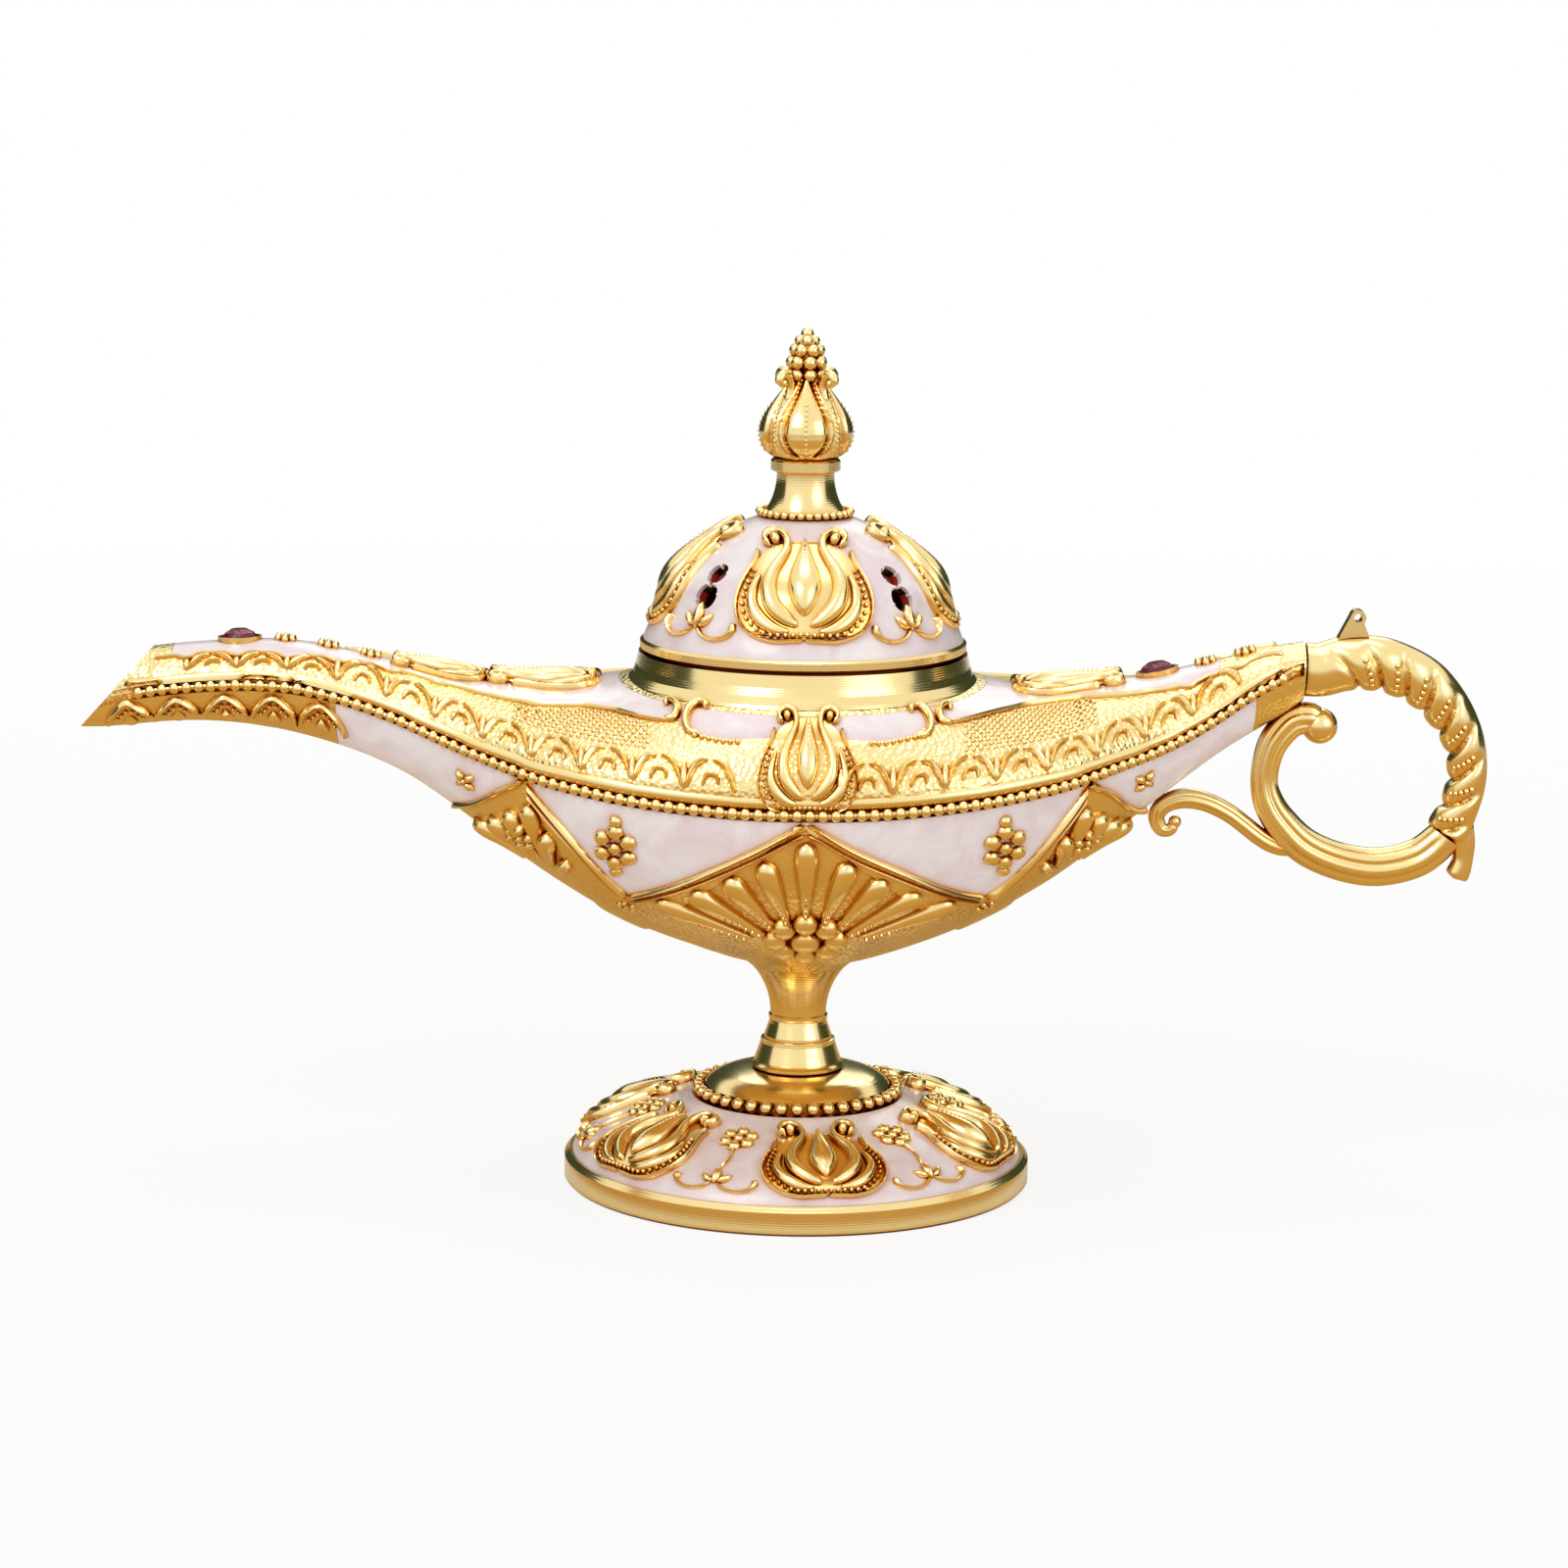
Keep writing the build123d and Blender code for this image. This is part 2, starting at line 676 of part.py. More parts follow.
with BuildPart() as finial_bulb:
    with BuildSketch(Plane.XZ) as bulb_profile:
        with BuildLine():
            bulb_line = [
                (radial * finial_bulb_radius, bulb_bottom + rise * finial_bulb_rise)
                for radial, rise in finial_bulb_shares
            ]
            Spline(*bulb_line)
            Polyline(bulb_line[-1], (0, bulb_top), (0, bulb_bottom), bulb_line[0])
        make_face()
    revolve(axis=Axis.Z)
    with Locations((0, 0, bulb_top)):
        with PolarLocations(finial_collar_radius - finial_volute_radius, volute_count):
            Sphere(finial_volute_radius)
finish(finial_bulb.part, "finial_bulb")

with BuildPart() as finial_cluster:
    with BuildSketch(Plane.XZ):
        with BuildLine():
            cluster_line = [
                (radial * finial_collar_radius, bulb_top + joint_gap + rise * finial_cluster_rise)
                for radial, rise in finial_cluster_shares
            ]
            Spline(*cluster_line)
            Polyline(cluster_line[-1], (0, cluster_line[-1][1]), (0, cluster_line[0][1]), cluster_line[0])
        make_face()
    revolve(axis=Axis.Z)
    add(finial_bulb.part, mode=Mode.SUBTRACT)
finish(finial_cluster.part, "finial_cluster")

stud_bottom = dome_top - enamel_depth - dome_wall - stud_tail
with BuildPart() as finial_stud:
    with BuildSketch(Plane.XY.offset(stud_bottom)):
        Circle(finial_stud_radius)
    extrude(amount=neck_bottom + finial_stud_grip - stud_bottom)
finish(finial_stud.part, "finial_stud")

with BuildPart() as finial_nut:
    with BuildSketch(Plane.XY.offset(dome_top - enamel_depth - dome_wall - finial_nut_height)):
        RegularPolygon(finial_nut_radius, 6)
        Circle(finial_stud_radius + fit_gap, mode=Mode.SUBTRACT)
    extrude(amount=finial_nut_height)
finish(finial_nut.part, "finial_nut")

# Foot: a hollow casting with an enamelled cone, a ring of beads and a polished dish
enamel_line = [
    (
        foot_cone_radius + radial * (foot_enamel_radius - foot_cone_radius),
        foot_lip_height + rise * foot_cone_rise,
    )
    for radial, rise in foot_shares
]
shelf_height = foot_lip_height + foot_cone_rise
foot_top = shelf_height + foot_dish_rise
foot_bead_place = foot_cone_radius - foot_bead_radius
dish_radius = foot_bead_place - foot_bead_radius - bead_gap
dish_line = [
    (stem_ring_radius + radial * (dish_radius - stem_ring_radius), shelf_height + rise * foot_dish_rise)
    for radial, rise in dish_shares
]
with BuildPart() as foot_casting:
    recess = moved_points(enamel_line, -enamel_depth)
    hollow = moved_points(enamel_line, -enamel_depth - foot_wall)
    with BuildSketch(Plane.XZ):
        with BuildLine():
            Polyline(
                (hollow[0][0], 0),
                (foot_radius - rim_edge, 0),
                (foot_radius, rim_edge),
                (foot_radius, foot_rim_height),
                (foot_lip_radius, foot_lip_height),
                (foot_enamel_radius + fit_gap, foot_lip_height),
                (recess[0][0] + fit_gap, recess[0][1]),
                recess[0],
            )
            Spline(*recess)
            Polyline(
                recess[-1],
                (recess[-1][0] - fit_gap, recess[-1][1]),
                (foot_cone_radius - fit_gap, shelf_height),
                (dish_radius, shelf_height),
                dish_line[0],
            )
            Spline(*dish_line)
            Polyline(
                dish_line[-1],
                (rod_hole_radius, foot_top),
                (rod_hole_radius, hollow[-1][1]),
                hollow[-1],
            )
            Spline(*hollow)
            Line(hollow[0], (hollow[0][0], 0))
        make_face()
    revolve(axis=Axis.Z)
finish(foot_casting.part, "foot_casting")

with BuildPart() as foot_enamel:
    turned_layer(enamel_line, 0, fit_gap - enamel_depth)
finish(foot_enamel.part, "foot_enamel")

with BuildPart() as foot_beads:
    bead_ring(foot_bead_place, shelf_height + foot_bead_radius + bead_gap, foot_bead_radius, foot_bead_count)
finish(foot_beads.part, "foot_beads")

# Stem between the foot and the hull, clamped by the tie rod
with BuildPart() as stem_collar:
    turned([
        (rod_hole_radius, foot_top),
        *[(radial * stem_ring_radius, foot_top + rise * collar_rise) for radial, rise in collar_shares],
        (rod_hole_radius, foot_top + collar_rise),
    ])
finish(stem_collar.part, "stem_collar")

cup_bottom = foot_top + collar_rise
with BuildPart() as stem_cup:
    with BuildSketch(Plane.XZ):
        with BuildLine():
            cup_line = [
                (
                    stem_waist_radius + radial * (stem_cup_radius - stem_waist_radius),
                    cup_bottom + rise * (stem_top - cup_bottom),
                )
                for radial, rise in cup_shares
            ]
            Spline(*cup_line)
            Polyline(cup_line[-1], (rod_hole_radius, stem_top), (rod_hole_radius, cup_bottom), cup_line[0])
        make_face()
    revolve(axis=Axis.Z)
finish(stem_cup.part, "stem_cup")

washer_top = hollow[-1][1]
nut_top = washer_top - washer_height
rod_bottom = nut_top - nut_height - rod_tail
with BuildPart() as tie_rod:
    with BuildSketch(Plane.XY.offset(rod_bottom)):
        Circle(rod_radius)
    extrude(amount=rod_seat_height - rod_bottom)
    with BuildSketch(Plane.XY.offset(rod_seat_height)):
        Circle(rod_head_radius)
    extrude(amount=rod_head_height)
finish(tie_rod.part, "tie_rod")

with BuildPart() as tie_washer:
    with BuildSketch(Plane.XY.offset(nut_top)):
        Circle(washer_radius)
        Circle(rod_hole_radius, mode=Mode.SUBTRACT)
    extrude(amount=washer_height)
finish(tie_washer.part, "tie_washer")

with BuildPart() as tie_nut:
    with BuildSketch(Plane.XY.offset(nut_top - nut_height)):
        RegularPolygon(nut_radius, 6)
        Circle(rod_radius + fit_gap, mode=Mode.SUBTRACT)
    extrude(amount=nut_height)
finish(tie_nut.part, "tie_nut")


# Handle: a leafy bar that curls down from the tail, a plain scroll that closes the loop and a
# small brace against the hull
def handle_rows(shares, thick):
    """Rows of a bar from shares of the handle's reach, drop and the bar's own radius."""
    return [
        (
            tail_reach + joint_gap + along * handle_reach,
            handle_top_height + rise * handle_drop,
            radius * thick,
        )
        for along, rise, radius in shares
    ]


with BuildPart() as handle_arc:
    loft(bar_sections(handle_rows(handle_arc_shares, handle_bar_radius)))
finish(handle_arc.part, "handle_arc")

with BuildPart() as handle_leaf:
    loft(bar_sections(handle_rows(handle_leaf_shares, handle_bar_radius)))
    loft(bar_sections(handle_rows(handle_arc_shares, handle_bar_radius + fit_gap)), mode=Mode.SUBTRACT)
finish(handle_leaf.part, "handle_leaf")

with BuildPart() as handle_scroll:
    loft(bar_sections(handle_rows(handle_scroll_shares, scroll_bar_radius)))
    end = handle_rows(handle_scroll_shares, scroll_bar_radius)[-1]
    with Locations((end[0], 0, end[1])):
        Sphere(volute_radius)
    loft(bar_sections(handle_rows(handle_arc_shares, handle_bar_radius + fit_gap)), mode=Mode.SUBTRACT)
    add(body_form.part, mode=Mode.SUBTRACT)
finish(handle_scroll.part, "handle_scroll")

with BuildPart() as handle_brace:
    loft(bar_sections(handle_rows(brace_shares, brace_radius)))
    end = handle_rows(brace_shares, brace_radius)[-1]
    with Locations((end[0], 0, end[1])):
        Sphere(brace_volute_radius)
    loft(
        bar_sections(handle_rows(handle_scroll_shares, scroll_bar_radius + fit_gap)), mode=Mode.SUBTRACT
    )
finish(handle_brace.part, "handle_brace")

lug_foot = handle_rows([lug_place_share], handle_bar_radius)[0]
lug_base = lug_foot[1] + lug_foot[2]
lug_eye = (lug_foot[0] + lug_hole_share * lug_length, lug_base + lug_hole_rise)
with BuildPart() as handle_lug:
    with BuildSketch(Plane.XZ):
        with BuildLine():
            Polyline(
                (lug_foot[0] - lug_length / 2, lug_base - lug_sink),
                (lug_foot[0] + lug_length / 2, lug_base - lug_sink),
                (lug_foot[0] + lug_tip_share * lug_length, lug_base + lug_rise),
                close=True,
            )
        make_face()
        fillet(vertices(), radius=lug_corner)
        with Locations(lug_eye):
            Circle(lug_hole_radius + lug_wall)
    extrude(amount=lug_width / 2, both=True)
    with BuildSketch(Plane.XZ):
        with Locations(lug_eye):
            Circle(lug_hole_radius)
    extrude(amount=lug_width, both=True, mode=Mode.SUBTRACT)
    loft(bar_sections(handle_rows(handle_arc_shares, handle_bar_radius + fit_gap)), mode=Mode.SUBTRACT)
finish(handle_lug.part, "handle_lug")

# Ruby stones in their bezels on the ridge
for name, share in (("spout", spout_gem_share), ("tail", tail_gem_share)):
    with BuildPart() as bezel:
        extrude(gem_seat(share, 0), amount=bezel_height)
        with BuildSketch(ridge_plane(share).offset(bezel_floor - bezel_seat)) as pocket:
            Ellipse(gem_length / 2 + fit_gap, gem_width / 2 + fit_gap)
        extrude(pocket.sketch, amount=bezel_height, mode=Mode.SUBTRACT)
    finish(bezel.part, f"{name}_gem_bezel")
    with BuildPart() as gem:
        with BuildSketch(ridge_plane(share).offset(bezel_floor - bezel_seat)) as stone:
            Ellipse(gem_length / 2, gem_width / 2)
        extrude(stone.sketch, amount=bezel_seat - bezel_floor + gem_rise)
        fillet(bezel_top_edges(gem, share), radius=gem_rise * gem_crown_share)
    finish(gem.part, f"{name}_gem")
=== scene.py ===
import math

import bmesh
import bpy
import numpy as np
from bpy.props import FloatProperty, FloatVectorProperty, IntProperty, PointerProperty
from mathutils import Matrix, Vector
from mathutils.bvhtree import BVHTree


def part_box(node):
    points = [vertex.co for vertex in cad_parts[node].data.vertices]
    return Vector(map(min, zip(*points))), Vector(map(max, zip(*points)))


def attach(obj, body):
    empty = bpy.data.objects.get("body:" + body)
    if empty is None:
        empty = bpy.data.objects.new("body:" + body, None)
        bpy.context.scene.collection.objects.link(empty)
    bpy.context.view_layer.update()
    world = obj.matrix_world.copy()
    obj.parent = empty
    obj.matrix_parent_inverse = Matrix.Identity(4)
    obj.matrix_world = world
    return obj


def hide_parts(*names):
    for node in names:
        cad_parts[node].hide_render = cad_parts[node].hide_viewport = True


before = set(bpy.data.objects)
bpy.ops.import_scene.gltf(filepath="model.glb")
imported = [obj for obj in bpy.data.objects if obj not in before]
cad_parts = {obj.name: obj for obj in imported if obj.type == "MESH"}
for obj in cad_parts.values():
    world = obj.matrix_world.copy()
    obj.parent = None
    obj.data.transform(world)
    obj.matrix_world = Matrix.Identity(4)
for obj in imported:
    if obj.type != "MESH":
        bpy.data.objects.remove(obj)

bl_info = {
    "name": "Genie oil lamp",
    "version": (1, 0, 0),
    "blender": (4, 5, 0),
    "location": "3D View > Sidebar > Lamp",
    "description": "Dresses the packed oil lamp in gold plating, pearl enamel and raised ornament",
    "category": "Object",
}

MM = 0.001
SINK = 0.25  # mm that raised ornament reaches into the ground that carries it
FAR = 0.3  # metres from the lamp's middle, where the rays that find its surfaces start
TURN = 2 * math.pi
QUARTER = math.pi / 2
SEAM_BINS, FEWEST_IN_BIN = 60, 6
MERIDIAN_RAYS = 120
BOWL_SECTIONS, SECTION_RAYS, SECTION_LENGTH = 190, 70, 60
LOWEST_OF_DECK, HEIGHT_OF_DECK = 60.0, 75.0  # mm


def lengths_along(points):
    """Distance of each point from the first, along the line."""
    return np.concatenate(([0], np.cumsum(np.linalg.norm(np.diff(points, axis=0), axis=1))))


def points_at(marks, lengths, points):
    """Points at distances along a line."""
    return np.stack([np.interp(marks, lengths, column) for column in points.T], 1)


def polar(reach, azimuth, height):
    """Point at a reach and an azimuth from the axis."""
    return reach * math.cos(azimuth), reach * math.sin(azimuth), height


# Surfaces of the frame that ornament is laid on

def search_tree(*names):
    """Search tree over the faces of several CAD nodes."""
    vertices, faces = [], []
    for name in names:
        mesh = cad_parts[name].data
        start = len(vertices)
        vertices += [vertex.co.copy() for vertex in mesh.vertices]
        faces += [[start + index for index in face.vertices] for face in mesh.polygons]
    return BVHTree.FromPolygons(vertices, faces)


def vertices_of(name):
    """Vertices of a CAD node, in metres."""
    return np.array([vertex.co[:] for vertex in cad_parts[name].data.vertices])


def seam_of_bowl():
    """Line of the seam on the far side, in metres, read from the moulding that lies in it."""
    points = vertices_of("seam_moulding")
    points = points[points[:, 1] > 0]
    edges = np.linspace(points[:, 0].min(), points[:, 0].max(), SEAM_BINS + 1)
    bins = np.digitize(points[:, 0], edges)
    parts = [bins == index for index in range(1, SEAM_BINS + 1)]
    return np.array([points[part].mean(0) for part in parts if part.sum() >= FEWEST_IN_BIN])


class GridSkin:
    """A surface as a table of points in millimetres, read at any across and along between them."""

    def __init__(self, across, along, points, outward):
        self.across, self.along, self.points = across, along, points
        first = np.gradient(points, axis=0)
        second = np.gradient(points, axis=1)
        normals = np.cross(first, second)
        normals /= np.maximum(np.linalg.norm(normals, axis=2, keepdims=True), 1e-9)
        flip = np.sign((normals * outward).sum(2, keepdims=True))
        self.normals = normals * np.where(flip == 0, 1, flip)

    def place(self, points):
        """Lays flat ornament points (across, along, height) on the surface."""
        i, s = self.part_of(points[:, 0], self.across)
        j, t = self.part_of(points[:, 1], self.along)
        s, t = s[:, None], t[:, None]
        spot, normal = (
            (1 - s) * ((1 - t) * table[i, j] + t * table[i, j + 1])
            + s * ((1 - t) * table[i + 1, j] + t * table[i + 1, j + 1])
            for table in (self.points, self.normals)
        )
        return spot + normal * points[:, 2:3]

    @staticmethod
    def part_of(value, steps):
        place = np.clip((value - steps[0]) / (steps[1] - steps[0]), 0, len(steps) - 1.001)
        index = place.astype(int)
        return index, place - index


class RoundSkin:
    """A turned surface, read from one meridian of the frame, with along measured up the meridian."""

    def __init__(self, names, centre_height, first_angle, last_angle, azimuth=0.0):
        tree = search_tree(*names)
        centre = Vector((0, 0, centre_height * MM))
        hits = []
        for angle in np.radians(np.linspace(first_angle, last_angle, MERIDIAN_RAYS)):
            out = Vector((math.cos(angle), 0, math.sin(angle)))
            out.rotate(Matrix.Rotation(azimuth, 3, "Z"))
            spot = tree.ray_cast(centre + out * FAR, -out)[0]
            if spot is not None:
                hits.append((math.hypot(spot.x, spot.y) / MM, spot.z / MM))
        self.line = np.array(hits)
        self.lengths = lengths_along(self.line)
        slope = np.gradient(self.line, axis=0)
        slope /= np.linalg.norm(slope, axis=1, keepdims=True)
        self.outward = np.stack((slope[:, 1], -slope[:, 0]), 1)

    def place(self, points, azimuth=0.0):
        """Lays flat ornament points (across, along, height) round the axis, centred on an azimuth."""
        radius, height, out, rise = (
            np.interp(points[:, 1], self.lengths, column)
            for column in (*self.line.T, *self.outward.T)
        )
        angle = azimuth + points[:, 0] / np.maximum(radius, 1)
        reach = radius + out * points[:, 2]
        return np.stack(
            (reach * np.cos(angle), reach * np.sin(angle), height + rise * points[:, 2]), 1
        )


def bowl_skin(names, turn):
    """Half of the bowl above (turn 1) or below (turn -1) the seam, along measured from the seam."""
    tree = search_tree(*names)
    seam_x, _, seam_z = seam_of_bowl().T
    low, high = (corner.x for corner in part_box(names[0]))
    places = np.linspace(low + MM, high - MM, BOWL_SECTIONS)
    angles = np.radians(np.linspace(0, 90, SECTION_RAYS))
    along = np.linspace(0, SECTION_LENGTH, 2 * SECTION_LENGTH + 1)
    table = []
    for x in places:
        middle = Vector((x, 0, np.interp(x, seam_x, seam_z)))
        reach = []
        for angle in angles:
            out = Vector((0, math.cos(angle), turn * math.sin(angle)))
            spot = tree.ray_cast(middle + out * FAR, -out)[0]
            reach.append(np.nan if spot is None else (spot - middle).dot(out))
        reach = np.array(reach)
        reach[reach <= 0] = np.nan
        if np.isnan(reach).all():
            reach[:] = MM
        known = ~np.isnan(reach)
        reach = np.interp(angles, angles[known], reach[known])
        padded = np.pad(reach, 2, mode="edge")
        reach = np.median([padded[k:k + len(reach)] for k in range(5)], axis=0)
        points = np.stack((
            np.full(len(angles), x), reach * np.cos(angles), middle.z + turn * reach * np.sin(angles)
        ), 1) / MM
        table.append(points_at(along, lengths_along(points), points))
    table = np.array(table)
    outward = table - np.array([0, 0, np.median(seam_z) / MM])
    outward[..., 0] = 0
    return GridSkin(places / MM, along, table, outward)


def top_skin():
    """The deck seen from above, across measured along the lamp and along measured towards +Y."""
    tree = search_tree("deck_shell", "deck_enamel")
    across, along = np.arange(-100, 74, 1.5), np.arange(-20, 20.5, 1.0)
    table = np.zeros((len(across), len(along), 3))
    for i, x in enumerate(across):
        heights = np.full(len(along), np.nan)
        for j, y in enumerate(along):
            spot = tree.ray_cast(Vector((x * MM, y * MM, FAR)), Vector((0, 0, -1)))[0]
            if spot is not None and spot.z > LOWEST_OF_DECK * MM:
                heights[j] = spot.z / MM
        known = ~np.isnan(heights)
        heights = np.interp(along, along[known], heights[known]) if known.any() else HEIGHT_OF_DECK
        table[i, :, 0], table[i, :, 1], table[i, :, 2] = x, along, heights
    return GridSkin(across, along, table, np.array((0.0, 0.0, 1.0)))


# Camera of the photograph: 0.7 m away and about 10 degrees above the lamp
camera_place = Vector((-2.65, -700.0, 188.2)) * MM
camera_pitch = math.radians(10.24)
camera_roll = math.radians(0.75)
camera_focal_pixels = 4731.0
photo_pixels = 1600.0
sensor_width = 36.0


def camera_axes():
    """Right, up and forward of the camera."""
    forward = Vector((0, math.cos(camera_pitch), -math.sin(camera_pitch)))
    right, up = Vector((1, 0, 0)), Vector((0, math.sin(camera_pitch), math.cos(camera_pitch)))
    turned_right = right * math.cos(camera_roll) + up * math.sin(camera_roll)
    turned_up = up * math.cos(camera_roll) - right * math.sin(camera_roll)
    return turned_right, turned_up, forward


# Relief: closed little solids, drawn flat in millimetres and then laid on a surface

ROUND = ((-1.0, None), (-0.95, 0.34), (-0.72, 0.72), (-0.38, 0.94), (0.0, 1.0),
         (0.38, 0.94), (0.72, 0.72), (0.95, 0.34), (1.0, None))
THIN = ((-1.0, None), (-0.72, 0.7), (0.0, 1.0), (0.72, 0.7), (1.0, None))
FLAT = ((-1.0, None), (-0.98, 0.8), (-0.8, 1.0), (-0.55, 1.0), (-0.28, 1.0), (0.0, 1.0),
        (0.28, 1.0), (0.55, 1.0), (0.8, 1.0), (0.98, 0.8), (1.0, None))
BEAD = ((1.0, None), (0.97, 0.3), (0.74, 0.72), (0.36, 0.95))
SMALL_BEAD = ((1.0, None), (0.8, 0.6))
GROUND_HEIGHT = 0.36


def smooth_line(rows, step):
    """Smooth curve through rows whose first two columns are places, resampled evenly."""
    rows = np.array(rows, float)
    padded = np.vstack((2 * rows[0] - rows[1], rows, 2 * rows[-1] - rows[-2]))
    t = np.linspace(0, 1, 12, endpoint=False)[:, None]
    fine = [
        0.5 * (2 * b + (c - a) * t + (2 * a - 5 * b + 4 * c - d) * t**2 + (3 * b - a - 3 * c + d) * t**3)
        for a, b, c, d in zip(padded, padded[1:], padded[2:], padded[3:])
    ]
    fine = np.vstack(fine + [rows[-1:]])
    lengths = lengths_along(fine[:, :2])
    marks = np.linspace(0, lengths[-1], max(5, int(lengths[-1] / step) + 1))
    return points_at(marks, lengths, fine), marks


def directions(line):
    """Unit directions along a flat line and to its left."""
    way = np.gradient(line[:, :2], axis=0)
    way /= np.maximum(np.linalg.norm(way, axis=1, keepdims=True), 1e-9)
    return way, np.stack((-way[:, 1], way[:, 0]), 1)


def eased(ends, least):
    """Quarter-round ease, from the least share at an end to the full size where ends is 1."""
    return np.sqrt(np.clip(1 - (1 - np.minimum(ends, 1)) ** 2, least, 1))


def ring_faces(rings, around, start=0):
    """Faces between rings of points that follow each other."""
    return [
        (low + j, low + (j + 1) % around, low + around + (j + 1) % around, low + around + j)
        for low in range(start, start + (rings - 1) * around, around) for j in range(around)
    ]


def fan_faces(start, around, tip):
    """Faces from a ring of points to a tip."""
    return [(start + j, start + (j + 1) % around, tip) for j in range(around)]


def tube_faces(stations, around):
    """Faces of a closed tube of rings, with a cap at each end."""
    last = (stations - 1) * around
    return ring_faces(stations, around) + [tuple(range(around)), tuple(range(last, last + around))]


class Solid:
    """Points and faces of closed bodies, gathered one after another."""

    def __init__(self):
        self.parts, self.faces, self.count = [], [], 0

    def add(self, points, faces):
        self.parts.append(np.asarray(points, float))
        self.faces += [tuple(self.count + index for index in face) for face in faces]
        self.count += len(points)

    @property
    def points(self):
        return np.vstack(self.parts)

    def mirror(self, axis):
        """Adds the mirror image along one axis."""
        flip = np.ones(3)
        flip[axis] = -1
        self.add(self.points * flip, self.faces)
        return self


class Relief(Solid):
    """Ornament as points (across, along, height) in millimetres and faces."""

    def __init__(self, sink=SINK):
        super().__init__()
        self.sink = sink

    def level(self, rise, height):
        """Height of a point of a section, which is sunk in the ground where it has no rise."""
        return -self.sink if rise is None else rise * height

    def bar(self, rows, section=ROUND, step=0.6, rounding=None):
        """Raised bar along rows of across, along, half width and height."""
        line, marks = smooth_line(rows, step)
        reach = np.maximum(line[:, 2] if rounding is None else rounding, 0.05)
        ease = eased(np.minimum(marks, marks[-1] - marks) / reach, 0.02)
        rings = [
            (*(spot[:2] + left * spot[2] * offset * part), self.level(rise, spot[3] * part))
            for spot, left, part in zip(line, directions(line)[1], ease) for offset, rise in section
        ]
        self.add(rings, tube_faces(len(line), len(section)))

    def bead(self, u, v, radius, height, sides=8):
        rings = BEAD if sides > 6 else SMALL_BEAD
        points = [
            (u + x, v + y, self.level(rise, height)) for reach, rise in rings
            for x, y, _ in (polar(radius * reach, TURN * k / sides, 0) for k in range(sides))
        ]
        points.append((u, v, height))
        faces = ring_faces(len(rings), sides) + fan_faces((len(rings) - 1) * sides, sides, len(points) - 1)
        self.add(points, faces + [tuple(range(sides))])

    def bead_row(self, rows, radius, height, spacing, sides=6):
        line = smooth_line([(*row, 0) for row in rows], spacing)[0]
        for u, v, _ in line:
            self.bead(u, v, radius, height, sides)

    def plate(self, across, low, high, height, rows=14):
        """Raised plate between two lines over the same places across."""
        share = np.linspace(0, 1, rows)
        top = np.array([(u, a + (b - a) * s, height) for u, a, b in zip(across, low, high) for s in share])
        edge = np.zeros((len(across), rows), bool)
        edge[[0, -1], :] = edge[:, [0, -1]] = True
        top[edge.ravel(), 2] *= 0.55
        bottom = top.copy()
        bottom[:, 2] = -self.sink
        size = len(top)
        cell = [
            (i * rows + j, i * rows + j + 1, (i + 1) * rows + j + 1, (i + 1) * rows + j)
            for i in range(len(across) - 1) for j in range(rows - 1)
        ]
        ring = [i * rows for i in range(len(across))]
        ring += [(len(across) - 1) * rows + j for j in range(1, rows)]
        ring += [i * rows + rows - 1 for i in range(len(across) - 2, -1, -1)]
        ring += [j for j in range(rows - 2, 0, -1)]
        faces = cell + [tuple(size + k for k in reversed(face)) for face in cell]
        faces += [(a, b, size + b, size + a) for a, b in zip(ring, ring[1:] + ring[:1])]
        self.add(np.vstack((top, bottom)), faces)

    def join(self, other, scale=(1, 1, 1), at=(0, 0), turn=0.0):
        points = other.points * np.array(scale)
        u, v = points[:, 0].copy(), points[:, 1].copy()
        points[:, 0] = at[0] + u * math.cos(turn) - v * math.sin(turn)
        points[:, 1] = at[1] + u * math.sin(turn) + v * math.cos(turn)
        self.add(points, other.faces)


